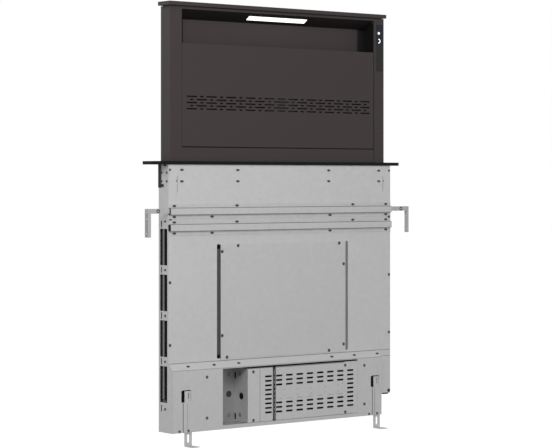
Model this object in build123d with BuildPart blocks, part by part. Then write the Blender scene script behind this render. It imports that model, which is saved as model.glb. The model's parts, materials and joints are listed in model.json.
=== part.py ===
from build123d import *
import os

# Telescopic downdraft vent, raised.  Millimetres.
# X runs across the front, Y from the front (-) to the back (+), Z is up.
# The origin is the middle of the tower in plan, on the worktop: the flange's rim rests on Z = 0.

os.makedirs("parts", exist_ok=True)

SIDES = (("left", -1), ("right", 1))

# ---------------------------------------------------------------- sheet, gaps and screws
SHEET = 1.2                      # galvanised chassis sheet
TOWER_SHEET = 1.2                # painted tower sheet
SEAT_GAP = 0.3                   # between pieces that slide past each other
SHAFT_GAP = 0.05                 # radial, in bores that turn
SCREW_RADIUS = 1.9
SCREW_LENGTH = 5.0
WALL_SCREW_LENGTH = 3.0          # in the side walls, short of the belts
HOLE_GAP = 0.1                   # radial, screw in its hole
HEAD_RADIUS = 3.6
HEAD_HEIGHT = 1.6
HEAD_TAPER = 18.0                # degrees
DRIVE_LENGTH = 3.6
DRIVE_WIDTH = 0.9
DRIVE_DEPTH = 0.8

# ---------------------------------------------------------------- lift
LIFT_TRAVEL = 436.5              # sets the tower's rise and the chassis's height
CAP_STOP_GAP = 1.0               # cap above the flange when lowered
LIFT_FLOOR_GAP = 25.5            # tower above the plenum floor when lowered

# ---------------------------------------------------------------- tower, above the worktop
TOWER_WIDTH = 798.0
TOWER_DEPTH = 45.0
CAP_HEIGHT = 11.0
CAP_OVERHANG = 7.0
CAP_JOINT = 2.0                  # shadow joint under the cap
CAP_CORNER = 4.0
CAP_EDGE = 1.2
SPIGOT_INSET = 4.0
POST_WIDTH = 40.0
HEADER_HEIGHT = 7.0
LIGHT_SLOPE_DROP = 26.0          # the sloped light housing, header to recess back
RECESS_HEIGHT = 70.0             # recess back above the front panel
RECESS_DEPTH = 39.5
RECESS_BACK_GAP = 32.0           # the recess back stops short of the posts
RECESS_BACK_DROP = 12.0          # how far the recess back reaches below the front panel's top
LENS_WIDTH = 216.0
LENS_BREADTH = 17.5
LENS_THICKNESS = 2.4
LENS_PROUD = 0.6
LED_BOARD_THICKNESS = 1.6
LED_BOARD_BREADTH = 13.0
LED_SIZE = 3.5
LED_COUNT = 12
PANEL_FLANGE = 10.0              # returned top edge of the front panel
LOWER_PANEL_TOP = 49.0
PANEL_JOINT = 1.6                # open joint round the front panel
LEDGE_DEPTH = 13.3               # filters stand on the lower panel's return

# perforated band
BAND_DROP = 149.6                # top row below the front panel's top
BAND_ROWS = 5
BAND_ROW_PITCH = 8.74
BAND_PERIOD = 70.0               # from one long slot to the next
BAND_LONG_SLOT = 36.7
BAND_SHORT_SLOT = 11.5
BAND_MIDDLE_EXTRA = 18.0         # the middle column's slots are longer by this
BAND_SLOT_HEIGHT = 4.0
BAND_SIDE_MARGIN = 13.0

# filters
FILTER_THICKNESS = 9.0
FILTER_DROP = 10.0               # filter top below the front panel's top
FILTER_FRAME = 12.0
FILTER_RECESS = 1.5
FILTER_SIDE_GAP = 4.0
FILTER_MIDDLE_GAP = 2.0
RETAINER_HALF = 51.0
RETAINER_DROP = 32.0             # below the filters' top
RETAINER_SETBACK = 1.4           # behind the front panel
HANDLE_HOLE = 22.0

# touch control on the right post
TOUCH_WIDTH = 27.0
TOUCH_HEIGHT = 141.0
TOUCH_DROP = 18.0                # below the post's top
TOUCH_OFFSET = 2.5               # glass centre, outward from the post's middle
TOUCH_JOINT = 0.2                # open joint round the glass
TOUCH_CORNER = 2.0
TOUCH_BOARD_THICKNESS = 1.6
TOUCH_BOARD_MARGIN = 2.5

# ---------------------------------------------------------------- worktop flange
FLANGE_OVERHANG = 43.0           # past the chassis at each end
FLANGE_FRONT_LIP = 3.5
FLANGE_BACK_LIP = 16.0
FLANGE_THICKNESS = 9.5
FLANGE_REBATE = 1.0              # the chassis's top edge stands in a rebate under the flange
REBATE_GAP = 0.4
FLANGE_CORNER = 20.0
FLANGE_EDGE = 1.5
WIPER_WIDTH = 3.0
WIPER_HEIGHT = 5.0

# ---------------------------------------------------------------- chassis
DRIVE_SPACE = 15.0               # tower's side to the outside of the chassis
CHASSIS_DEPTH = 47.3             # side wall, front to back
TOWER_SETBACK = 13.0             # tower behind the chassis front
WALL_FLANGE = 12.0               # inward rear flange of a side wall
PAN_INSET = 12.0                 # the rear pan is narrower than the chassis
PAN_GAP = 3.3                    # behind the tower
PAN_FLANGE = 11.0
OUTLET_WIDTH = 380.0
OUTLET_TOP_MARGIN = 44.0         # outlet inside the cover plate's outline
OUTLET_BOTTOM_MARGIN = 43.0
OUTLET_BOLT_MARGIN = 16.0
OUTLET_HOLE_RADIUS = 2.1

WINDOW_WIDTH = 34.0
WINDOW_SETBACK = 6.5             # behind the chassis front
WINDOW_DROP = 180.0              # first window below the worktop
WINDOW_BRIDGE = 26.0             # sheet left between two windows
WINDOW_BOTTOM_MARGIN = 23.0      # last window above the wing's bottom
WINDOW_COUNT = 4
TIE_SLOT_WIDTH = 5.0
TIE_SLOT_HEIGHT = 18.0
TIE_SLOT_SETBACK = 34.0
LOW_TIE_SLOT_RISE = 6.5          # a last slot on the left wall, above the wing's bottom

# channels across the front, and the arms in the upper one
CHANNEL_HEIGHT = 19.0
CHANNEL_DEPTH = 7.0
CHANNEL_FLANGE = 12.0
UPPER_CHANNEL_TOP = 122.0
LOWER_CHANNEL_TOP = 168.0
CHANNEL_OUTER_INSET = 19.0
CHANNEL_MIDDLE_SCREW = 263.0
CHANNEL_INNER_SCREW = 174.0
ARM_REACH = 72.0                 # past the chassis
ARM_LENGTH = 236.0
ARM_HEIGHT = 13.5
ARM_THICKNESS = 2.0
ARM_LEG_WIDTH = 8.5
ARM_LEG_DEPTH = 18.0
ARM_LEG_LENGTH = 79.5
ARM_BEND_RADIUS = 2.5
ARM_HOLE_RADIUS = 2.5
ARM_HOLE_PITCH = 40.0
ARM_FIRST_HOLE = 28.5            # below the arm's top edge
ARM_FACE_HOLE = 33.0             # in from the arm's end

# blower cover
COVER_HALF = 232.0
COVER_TOP_GAP = 27.0             # below the lower channel
COVER_BOTTOM_GAP = 4.0           # above the chassis's lower edge
COVER_CORNER = 3.0
COVER_SLOT_OFFSET = 8.0          # slot's middle outside the cover's edge
COVER_SLOT_WIDTH = 10.0
COVER_SLOT_RISE = 1.0            # slot's top above the cover's
COVER_SLOT_STOP = 2.0            # slot's bottom above the cover's
COVER_SCREW_EDGE = 5.0
COVER_TOP_SCREWS = (-170.0, 210.0)
COVER_HIGH_SCREW = 21.0          # below the cover's top
COVER_LOW_SCREW = 67.0           # above the cover's bottom

# screws on the chassis front and sides
TOP_OUTER_INSET = 46.0
TOP_INNER_SCREW = 170.0
TOP_SCREW_ROWS = (15.0, 47.0)
EDGE_SCREW_INSET = 5.0
EDGE_SCREW_ROWS = (15.0, 330.0)
EDGE_LOW_SCREW = 52.0            # above the chassis's lower edge
GUIDE_SCREW_SETBACKS = (8.5, 32.0)
GUIDE_SCREW_ROWS = (23.0, 47.0)
RAIL_TOP_SCREW = 21.0            # above the first window
RAIL_LOW_SCREW = 5.0             # above the wing's bottom
RAIL_SCREW_SETBACK = 16.0

# ---------------------------------------------------------------- lower box
BOX_STEP = 18.5                  # box front ahead of the chassis front
STEP_HEIGHT = 19.0               # chassis's lower edge to the box
BOX_HEIGHT = 174.0
WING_WIDTH = 51.4                # right compartment beside the box
WING_HEIGHT = 113.0
STEP_SCREWS = (174.0, 262.0)
STEP_OUTER_INSET = 9.6           # from the box's right side
BOX_SCREW_LEFT_INSET = 120.0
BOX_SCREW_RIGHT_INSET = 68.6
BOX_SCREW_TOP_INSET = 22.5
BOX_SCREW_BOTTOM_INSET = 36.0

TRAY_LEFT_INSET = 176.0
TRAY_RIGHT_INSET = 95.6
TRAY_BOTTOM_INSET = 11.0
TRAY_BACK_GAP = 1.9              # in front of the box's back
BACK_HOLE_OFFSET = 68.0          # from the tray's left side
BACK_HOLE_DROP = 83.0            # below the box's top
BACK_HOLE_RADIUS = 9.0

WIRING_BAY_WIDTH = 89.0
ELECTRONICS_TOP_INSET = 7.0
ELECTRONICS_BOTTOM_INSET = 1.0
CABLE_HOLE_RADIUS = 10.0
CABLE_HOLE_SETBACK = 30.0        # behind the box front
CABLE_HOLE_DROP = 88.0           # below the box's top
NOTCH_HEIGHT = 18.0
NOTCH_DEPTH = 6.0
NOTCH_INSETS = (23.0, 14.0)      # from the electronics box's top and bottom
TERMINAL_COVER_WIDTH = 92.0
COVER_JOINT = 12.0               # open gap between the two covers
COVER_RETURN = 16.0
VENT_LEFT_OFFSET = 16.0          # first column left of the terminal cover's edge
VENT_RIGHT_MARGIN = 28.5
VENT_TOP_MARGIN = 26.5
VENT_BOTTOM_MARGIN = 24.5
VENT_COLUMNS = 9
VENT_ROWS = 9
VENT_PLAIN_ROWS = (3, 4, 5)      # rows without slots in the middle columns
VENT_SLOT_WIDTH = 25.0
VENT_SLOT_HEIGHT = 5.5
RETURN_SLOT_LENGTH = 8.0
TERMINAL_SCREW_INSET = 21.0
CONTROL_SCREW_INSET = 48.2
ELECTRONICS_SCREW_TOP = 10.5
ELECTRONICS_SCREW_BOTTOM = 5.5

# inside the electronics box
BOARD_RIGHT_GAP = 12.0
BOARD_BOTTOM_GAP = 16.0
BOARD_WIDTH = 170.0
BOARD_HEIGHT = 120.0
BOARD_THICKNESS = 1.6
BOARD_CORNER = 3.0
SPACER_HEIGHT = 8.0
SPACER_RADIUS = 3.0
SPACER_INSET = 6.0
TRANSFORMER_GAP = 13.0           # left of the control board
TRANSFORMER_DROP = 77.0          # below the electronics box's top
TRANSFORMER_WIDTH = 54.0
TRANSFORMER_HEIGHT = 46.0
TRANSFORMER_DEPTH = 34.0
COIL_WIDTH = 32.0
COIL_HEIGHT = 56.0
COIL_DEPTH = 26.0
TERMINAL_GAP = 14.8              # from the electronics box's left wall
TERMINAL_DROP = 107.0            # below the electronics box's top
TERMINAL_WIDTH = 56.0
TERMINAL_HEIGHT = 20.0
TERMINAL_DEPTH = 16.0
TERMINAL_WAYS = 5

# on the control board, as (X and Z from its middle, width, height, depth): relays, capacitors, chips
BOARD_PARTS = (
    (-60.0, 35.0, 18.0, 15.0, 14.0),
    (-36.0, 35.0, 18.0, 15.0, 14.0),
    (-12.0, 35.0, 18.0, 15.0, 14.0),
    (30.0, 30.0, 34.0, 24.0, 20.0),
    (-50.0, -5.0, 26.0, 10.0, 5.0),
    (10.0, -8.0, 14.0, 14.0, 4.0),
    (45.0, -10.0, 12.0, 12.0, 18.0),
    (62.0, -10.0, 12.0, 12.0, 18.0),
    (-45.0, -40.0, 50.0, 12.0, 11.0),
    (25.0, -40.0, 50.0, 12.0, 11.0),
)

# ---------------------------------------------------------------- feet
LEFT_FOOT_INSET = 55.8           # leg's middle from the chassis's left side
RIGHT_FOOT_INSET = 18.2          # leg's middle from the box's right side
FOOT_LEG_WIDTH = 25.0
FOOT_THICKNESS = 2.0
FOOT_DROP = 39.0                 # foot plate below the box
FOOT_TOP_INSET = 58.0            # leg's top below the box's top
FOOT_REACH = 38.0
FOOT_NOTCH_GAP = 0.6             # round the leg where it leaves the box
FOOT_SLOT_WIDTH = 8.0
FOOT_SLOT_LENGTH = 80.0
FOOT_SLOT_END = 2.0              # slot's lower end above the box's bottom
FOOT_HOLE_DROP = 5.0             # lower slot below the box's bottom
FOOT_HOLE_LENGTH = 24.0
FOOT_SLIT_WIDTH = 2.5            # short slit seen in the box's window
FOOT_SLIT_LENGTH = 17.0
FOOT_SLIT_DROP = 5.0             # below the leg's top
FOOT_SLIT_SHIFT = 0.5
FOOT_BEND_RADIUS = 2.5
FOOT_HOLE_RADIUS = 2.5
FOOT_SCREW_RISE = 5.0            # clamp screw above the box's bottom
BOX_WINDOW_WIDTH = 33.0
BOX_WINDOW_HEIGHT = 34.0
BOX_WINDOW_DROP = 55.0           # below the box's top
BOX_WINDOW_SHIFT = -8.5          # window centre from the leg's centre
BOX_WINDOW_CORNER = 4.0
RIB_WIDTH = 15.0
RIB_PROUD = 1.0
RIB_SHIFT = -11.5
FOOT_SIDE_SCREW_SHIFT = -31.5

# ---------------------------------------------------------------- lift drive
DRIVE_SETBACK = 24.0             # pulley axis behind the chassis front
IDLER_DROP = 84.0                # idler axis below the worktop
DRIVE_RISE = 17.0                # pulley axis above the wing's bottom
PULLEY_RADIUS = 14.0
BELT_SEAT = 0.3
BELT_THICKNESS = 1.4
BELT_WIDTH = 9.0
BELT_SIDE_GAP = 2.5              # belt from the tower's side
PULLEY_TEETH = 18
TOOTH_RADIUS = 0.9
SHAFT_RADIUS = 4.0
SHAFT_END_GAP = 0.6
PIN_HEAD_RADIUS = 6.0
PIN_HEAD_THICKNESS = 1.2
RAIL_WIDTH = 11.0
RAIL_DEPTH = 10.3
RAIL_WALL = 1.5
RAIL_END_GAP = 1.0
SHOE_HEIGHT = 13.0
SHOE_DROP_GAP = 1.3              # shoe top below the idler's belt
SHOE_JAW = 3.2
CLAMP_FRONT = 2.0
CLAMP_BACK = 2.6
SHOE_WALL_GAP = 2.2              # clears the screw ends in the side wall
CLAMP_WALL_GAP = 1.3
GUIDE_DROP = 65.0
GUIDE_FRONT_GAP = 5.3            # guide block behind the chassis front
GUIDE_LIP = 5.2
GUIDE_CHEEK_SETBACK = 38.0       # the guide shows outside behind this, from the chassis front
GUIDE_CHEEK_PROUD = 2.7          # behind the side wall's rear flange
SWITCH_WIDTH = 8.0
SWITCH_DEPTH = 5.0
SWITCH_SETBACK = 1.0             # behind the front panel
SWITCH_HEIGHT = 12.0
SWITCH_GAP = 0.6
GEARBOX_RADIUS = 15.0
GEARBOX_LENGTH = 28.0
MOTOR_RADIUS = 14.5
MOTOR_LENGTH = 72.0
MOTOR_BELL_RADIUS = 11.0
MOTOR_BELL_LENGTH = 6.0
BRACKET_THICKNESS = 2.0
BRACKET_HEIGHT = 47.8
BRACKET_BELT_GAP = 3.5           # from the belt
BRACKET_HOLE_GAP = 1.0           # radial, round the shaft
SHAFT_SOCKET = 16.0
MOTOR_WALL_GAP = 1.0
BASE_FRAME_WALL = 2.0

# ---------------------------------------------------------------- worked-out places: tower
tower_half = TOWER_WIDTH / 2
tower_front = -TOWER_DEPTH / 2
tower_back = TOWER_DEPTH / 2
cap_bottom = FLANGE_THICKNESS + CAP_STOP_GAP + LIFT_TRAVEL
tower_top = cap_bottom - CAP_JOINT
post_inner = tower_half - POST_WIDTH
header_bottom = tower_top - HEADER_HEIGHT
light_back = header_bottom - LIGHT_SLOPE_DROP
recess_floor = light_back - RECESS_HEIGHT
recess_back = tower_front + RECESS_DEPTH
recess_back_half = post_inner - RECESS_BACK_GAP
band_top = recess_floor - BAND_DROP
band_half = post_inner - BAND_SIDE_MARGIN
filter_top = recess_floor - FILTER_DROP
retainer_top = filter_top - RETAINER_DROP
touch_high = tower_top - TOUCH_DROP
touch_middle = (tower_half - POST_WIDTH / 2 + TOUCH_OFFSET, touch_high - TOUCH_HEIGHT / 2)
tower_plane = Plane.XZ.offset(-tower_front)

# ---------------------------------------------------------------- worked-out places: drive and tower's foot
belt_inner = PULLEY_RADIUS + BELT_SEAT
belt_outer = belt_inner + BELT_THICKNESS
belt_near = tower_half + BELT_SIDE_GAP
belt_far = belt_near + BELT_WIDTH
shoe_top = -(IDLER_DROP + belt_outer + SHOE_DROP_GAP)
tower_bottom = shoe_top - SHOE_HEIGHT
clearance_hole = SCREW_RADIUS + HOLE_GAP
guide_inner = tower_half + SEAT_GAP
bracket_outer = belt_near - BRACKET_BELT_GAP
gearbox_outer = bracket_outer - BRACKET_THICKNESS
gearbox_inner = gearbox_outer - GEARBOX_LENGTH
motor_inner = gearbox_inner - MOTOR_LENGTH

# ---------------------------------------------------------------- worked-out places: chassis and box
chassis_half = tower_half + DRIVE_SPACE
chassis_top = FLANGE_REBATE
chassis_front = tower_front - TOWER_SETBACK
panel_back = chassis_front + SHEET
wall_inner = chassis_half - SHEET
wall_back = chassis_front + CHASSIS_DEPTH
flange_inner_y = wall_back - SHEET
cheek_front = chassis_front + GUIDE_CHEEK_SETBACK
pan_half = chassis_half - PAN_INSET
pan_inner_y = tower_back + PAN_GAP
pan_back = pan_inner_y + SHEET
channel_face = chassis_front - SHEET
drive_y = chassis_front + DRIVE_SETBACK

box_top = LIFT_TRAVEL - tower_bottom + LIFT_FLOOR_GAP
chassis_drop = box_top - STEP_HEIGHT
box_bottom = box_top + BOX_HEIGHT
wing_bottom = box_top + WING_HEIGHT
box_right = chassis_half - WING_WIDTH
box_front = chassis_front - BOX_STEP
box_inner = box_front + SHEET
box_wall = box_right - SHEET
floor_bottom = -box_top - SHEET
tray_top = floor_bottom - SHEET
tray_bottom = box_bottom - TRAY_BOTTOM_INSET
tray_left = TRAY_LEFT_INSET - chassis_half
tray_right = box_right - TRAY_RIGHT_INSET
tray_back = flange_inner_y - TRAY_BACK_GAP
tray_inner_y = tray_back - SHEET
drive_drop = wing_bottom - DRIVE_RISE

electronics_left = tray_left + WIRING_BAY_WIDTH
electronics_right = tray_right - SEAT_GAP
electronics_top = box_top + ELECTRONICS_TOP_INSET
electronics_bottom = tray_bottom - ELECTRONICS_BOTTOM_INSET
terminal_right = electronics_left + TERMINAL_COVER_WIDTH
control_left = terminal_right + COVER_JOINT
inner_back = tray_inner_y - SHEET
back_hole_place = (tray_left + BACK_HOLE_OFFSET, -box_top - BACK_HOLE_DROP)

cover_top = LOWER_CHANNEL_TOP + CHANNEL_HEIGHT + CHANNEL_FLANGE + COVER_TOP_GAP
cover_bottom = chassis_drop - COVER_BOTTOM_GAP
cover_middle = -(cover_top + cover_bottom) / 2
outlet_high = -cover_top - OUTLET_TOP_MARGIN
outlet_low = -cover_bottom + OUTLET_BOTTOM_MARGIN
outlet_height = outlet_high - outlet_low
outlet_middle = (outlet_high + outlet_low) / 2

window_span = wing_bottom - WINDOW_BOTTOM_MARGIN - WINDOW_DROP
window_height = (window_span - (WINDOW_COUNT - 1) * WINDOW_BRIDGE) / WINDOW_COUNT
window_pitch = window_height + WINDOW_BRIDGE

foot_centres = {"left": LEFT_FOOT_INSET - chassis_half, "right": box_right - RIGHT_FOOT_INSET}
leg_front = box_inner + SEAT_GAP
leg_back = leg_front + FOOT_THICKNESS

step_plane = Plane(
    origin=(0, (chassis_front + box_front) / 2, -(chassis_drop + box_top) / 2),
    x_dir=(1, 0, 0),
    z_dir=(0, -STEP_HEIGHT, BOX_STEP),
)
step_thickness = SHEET * (STEP_HEIGHT**2 + BOX_STEP**2) ** 0.5 / STEP_HEIGHT

# ---------------------------------------------------------------- worked-out places: screws
channel_outer = chassis_half - CHANNEL_OUTER_INSET
top_flange_screws = (-channel_outer, -CHANNEL_INNER_SCREW, CHANNEL_MIDDLE_SCREW, channel_outer)
low_flange_screws = [-x for x in top_flange_screws]


def channel_screws(channel_top):
    """Screw places of one channel: its upper flange's, then its lower flange's."""
    high = -channel_top + CHANNEL_FLANGE / 2
    low = -channel_top - CHANNEL_HEIGHT - CHANNEL_FLANGE / 2
    return [(x, high) for x in top_flange_screws] + [(x, low) for x in low_flange_screws]


channel_places = channel_screws(UPPER_CHANNEL_TOP) + channel_screws(LOWER_CHANNEL_TOP)

# the cover's screws are the same when it is turned upside down
cover_half_pattern = [(x, -cover_top - COVER_SCREW_EDGE) for x in COVER_TOP_SCREWS]
cover_half_pattern += [
    (COVER_SCREW_EDGE - COVER_HALF, -cover_top - COVER_HIGH_SCREW),
    (COVER_SCREW_EDGE - COVER_HALF, -cover_bottom + COVER_LOW_SCREW),
]
cover_places = cover_half_pattern + [(-x, 2 * cover_middle - z) for x, z in cover_half_pattern]

top_places = [
    (side * x, -drop)
    for _, side in SIDES
    for x in (chassis_half - TOP_OUTER_INSET, TOP_INNER_SCREW)
    for drop in TOP_SCREW_ROWS
]
edge_places = [
    (side * (chassis_half - EDGE_SCREW_INSET), -drop)
    for _, side in SIDES
    for drop in (*EDGE_SCREW_ROWS, chassis_drop - EDGE_LOW_SCREW)
]
panel_places = top_places + edge_places

guide_places = [
    (chassis_front + setback, -drop) for setback in GUIDE_SCREW_SETBACKS for drop in GUIDE_SCREW_ROWS
]
bridge_rows = [
    WINDOW_DROP + window_height + WINDOW_BRIDGE / 2 + i * window_pitch for i in range(WINDOW_COUNT - 1)
]
rail_rows = [WINDOW_DROP - RAIL_TOP_SCREW, *bridge_rows, wing_bottom - RAIL_LOW_SCREW]
rail_places = [(chassis_front + RAIL_SCREW_SETBACK, -drop) for drop in rail_rows]
step_places = [(side * x, 0) for _, side in SIDES for x in (*STEP_SCREWS, box_right - STEP_OUTER_INSET)]
foot_places = [(x, -box_bottom + FOOT_SCREW_RISE) for x in foot_centres.values()]
box_places = [
    (x, -drop)
    for x in (BOX_SCREW_LEFT_INSET - chassis_half, box_right - BOX_SCREW_RIGHT_INSET)
    for drop in (box_top + BOX_SCREW_TOP_INSET, box_bottom - BOX_SCREW_BOTTOM_INSET)
]
box_places += [(x + FOOT_SIDE_SCREW_SHIFT, z) for x, z in foot_places]
electronics_places = [
    (x, -drop)
    for x in (electronics_left + TERMINAL_SCREW_INSET, electronics_right - CONTROL_SCREW_INSET)
    for drop in (electronics_top + ELECTRONICS_SCREW_TOP, electronics_bottom - ELECTRONICS_SCREW_BOTTOM)
]


def block(x, y, z, mode=Mode.ADD):
    """A box from its low and high place along each axis, in the part that is open."""
    with Locations(((x[0] + x[1]) / 2, (y[0] + y[1]) / 2, (z[0] + z[1]) / 2)):
        Box(x[1] - x[0], y[1] - y[0], z[1] - z[0], mode=mode)


def span(side, near, far):
    """The X range of something between two distances from the middle, on one side."""
    return (near, far) if side > 0 else (-far, -near)


def side_plane(side, distance):
    """A vertical plane that faces outward at a distance from the middle."""
    return Plane(origin=(side * distance, 0, 0), x_dir=(0, 1, 0), z_dir=(side, 0, 0))


def side_spots(side, places):
    """Places as (Y, Z) turned into a side plane's own coordinates."""
    return [(y, side * z) for y, z in places]


def pan_screws(face, places, length=SCREW_LENGTH):
    """Cross-head screws whose heads sit on a face."""
    with BuildPart() as screws:
        with BuildSketch(face) as heads:
            with Locations(*places):
                Circle(HEAD_RADIUS)
        extrude(amount=HEAD_HEIGHT, taper=HEAD_TAPER)
        with BuildSketch(face) as shanks:
            with Locations(*places):
                Circle(SCREW_RADIUS)
        extrude(amount=-length)
        with BuildSketch(face.offset(HEAD_HEIGHT)) as drives:
            with Locations(*places):
                Rectangle(DRIVE_LENGTH, DRIVE_WIDTH)
                Rectangle(DRIVE_WIDTH, DRIVE_LENGTH)
        extrude(amount=-DRIVE_DEPTH, mode=Mode.SUBTRACT)
    return screws.part


# ================================================================ worktop flange
flange_front = chassis_front - FLANGE_FRONT_LIP
flange_back = pan_back + FLANGE_BACK_LIP
with BuildPart() as worktop_flange:
    with BuildSketch() as flange_plan:
        with Locations((0, (flange_front + flange_back) / 2)):
            RectangleRounded(
                2 * (chassis_half + FLANGE_OVERHANG),
                flange_back - flange_front,
                FLANGE_CORNER,
            )
        Rectangle(TOWER_WIDTH + 2 * WIPER_WIDTH, TOWER_DEPTH + 2 * WIPER_WIDTH, mode=Mode.SUBTRACT)
    extrude(amount=FLANGE_THICKNESS)
    block(
        (-chassis_half - REBATE_GAP, chassis_half + REBATE_GAP),
        (chassis_front - REBATE_GAP, pan_back + REBATE_GAP),
        (0, FLANGE_REBATE),
        Mode.SUBTRACT,
    )
    fillet(worktop_flange.faces().sort_by(Axis.Z)[-1].outer_wire().edges(), FLANGE_EDGE)
worktop_flange.part.label = "worktop_flange"
export_step(worktop_flange.part, "parts/worktop_flange.step")

with BuildPart() as tower_wiper:
    with BuildSketch(Plane.XY.offset(FLANGE_THICKNESS - WIPER_HEIGHT)) as wiper_plan:
        Rectangle(TOWER_WIDTH + 2 * WIPER_WIDTH, TOWER_DEPTH + 2 * WIPER_WIDTH)
        Rectangle(TOWER_WIDTH + 2 * SEAT_GAP, TOWER_DEPTH + 2 * SEAT_GAP, mode=Mode.SUBTRACT)
    extrude(amount=WIPER_HEIGHT)
tower_wiper.part.label = "tower_wiper"
export_step(tower_wiper.part, "parts/tower_wiper.step")

# ================================================================ chassis sheets
front_plane = Plane.XZ.offset(-chassis_front)
with BuildPart() as chassis_front_panel:
    with BuildSketch(front_plane) as panel_outline:
        with BuildLine():
            Polyline(
                (-chassis_half, chassis_top),
                (chassis_half, chassis_top),
                (chassis_half, -wing_bottom),
                (box_right, -wing_bottom),
                (box_right, -chassis_drop),
                (-chassis_half, -chassis_drop),
                close=True,
            )
        make_face()
        with Locations((0, outlet_middle)):
            Rectangle(OUTLET_WIDTH, outlet_height, mode=Mode.SUBTRACT)
        slot_top = cover_top - COVER_SLOT_RISE
        slot_bottom = cover_bottom - COVER_SLOT_STOP
        with Locations((0, -(slot_top + slot_bottom) / 2)):
            with GridLocations(2 * (COVER_HALF + COVER_SLOT_OFFSET), COVER_SLOT_WIDTH, 2, 1):
                SlotOverall(slot_bottom - slot_top, COVER_SLOT_WIDTH, rotation=90, mode=Mode.SUBTRACT)
        with Locations(*panel_places, *channel_places, *cover_places):
            Circle(clearance_hole, mode=Mode.SUBTRACT)
    extrude(amount=-SHEET)
chassis_front_panel.part.label = "chassis_front_panel"
export_step(chassis_front_panel.part, "parts/chassis_front_panel.step")

window_places = [
    (
        chassis_front + WINDOW_SETBACK + WINDOW_WIDTH / 2,
        -(WINDOW_DROP + window_height / 2 + i * window_pitch),
    )
    for i in range(WINDOW_COUNT)
]
tie_slot_places = [
    (chassis_front + TIE_SLOT_SETBACK, z + window_height / 2 + WINDOW_BRIDGE / 2)
    for _, z in window_places
]
left_outline = [
    (wall_back, chassis_top),
    (panel_back, chassis_top),
    (panel_back, -chassis_drop),
    (chassis_front, -chassis_drop),
    (box_front, -box_top),
    (box_front, -box_bottom),
    (wall_back, -box_bottom),
]
right_outline = [
    (wall_back, chassis_top),
    (panel_back, chassis_top),
    (panel_back, -wing_bottom),
    (wall_back, -wing_bottom),
]
low_tie_slot = (chassis_front + TIE_SLOT_SETBACK, -wing_bottom + LOW_TIE_SLOT_RISE)
for name, side, outline, bottom, tie_slots in (
    ("left", -1, left_outline, box_bottom, tie_slot_places + [low_tie_slot]),
    ("right", 1, right_outline, wing_bottom, tie_slot_places),
):
    with BuildPart() as side_wall:
        with BuildSketch(side_plane(side, chassis_half)) as wall_outline:
            with BuildLine():
                Polyline(*side_spots(side, outline), close=True)
            make_face()
            with Locations(*side_spots(side, window_places)):
                Rectangle(WINDOW_WIDTH, window_height, mode=Mode.SUBTRACT)
            with Locations(*side_spots(side, tie_slots)):
                Rectangle(TIE_SLOT_WIDTH, TIE_SLOT_HEIGHT, mode=Mode.SUBTRACT)
            with Locations(*side_spots(side, guide_places + rail_places)):
                Circle(clearance_hole, mode=Mode.SUBTRACT)
        extrude(amount=-SHEET)
        block(
            span(side, wall_inner - WALL_FLANGE, wall_inner),
            (flange_inner_y, wall_back),
            (-bottom, chassis_top),
        )
        block(
            span(side, wall_inner - WALL_FLANGE, chassis_half),
            (cheek_front, wall_back),
            (-GUIDE_DROP, chassis_top),
            Mode.SUBTRACT,
        )
        if side > 0:
            block((box_right, wall_inner), (panel_back, flange_inner_y), (-bottom, -bottom + SHEET))
    side_wall.part.label = f"{name}_side_wall"
    export_step(side_wall.part, f"parts/{name}_side_wall.step")

with BuildPart() as rear_pan:
    pan_inner = pan_half - SHEET
    pan_reach = pan_half + PAN_FLANGE
    with BuildSketch(Plane.XY.offset(-chassis_drop)) as pan_plan:
        with BuildLine():
            Polyline(
                (-pan_reach, wall_back + SHEET),
                (-pan_reach, wall_back),
                (-pan_inner, wall_back),
                (-pan_inner, pan_inner_y),
                (pan_inner, pan_inner_y),
                (pan_inner, wall_back),
                (pan_reach, wall_back),
                (pan_reach, wall_back + SHEET),
                (pan_half, wall_back + SHEET),
                (pan_half, pan_back),
                (-pan_half, pan_back),
                (-pan_half, wall_back + SHEET),
                close=True,
            )
        make_face()
    extrude(amount=chassis_drop + chassis_top)
    block((-pan_inner, pan_inner), (wall_back, pan_inner_y), (-chassis_drop, SHEET - chassis_drop))
    for _, side in SIDES:
        block(
            span(side, guide_inner, pan_reach),
            (wall_back, pan_back),
            (-GUIDE_DROP, chassis_top),
            Mode.SUBTRACT,
        )
    with BuildSketch(Plane.XZ.offset(-pan_back)) as outlet:
        with Locations((0, outlet_middle)):
            Rectangle(OUTLET_WIDTH, outlet_height)
            with GridLocations(
                OUTLET_WIDTH + 2 * OUTLET_BOLT_MARGIN,
                outlet_height + 2 * OUTLET_BOLT_MARGIN,
                2,
                2,
            ):
                Circle(OUTLET_HOLE_RADIUS)
    extrude(amount=SHEET, mode=Mode.SUBTRACT)
rear_pan.part.label = "rear_pan"
export_step(rear_pan.part, "parts/rear_pan.step")

with BuildPart() as blower_cover:
    with BuildSketch(front_plane) as cover_outline:
        with Locations((0, cover_middle)):
            RectangleRounded(2 * COVER_HALF, cover_bottom - cover_top, COVER_CORNER)
        with Locations(*cover_places):
            Circle(clearance_hole, mode=Mode.SUBTRACT)
    extrude(amount=SHEET)
blower_cover.part.label = "blower_cover"
export_step(blower_cover.part, "parts/blower_cover.step")

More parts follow.
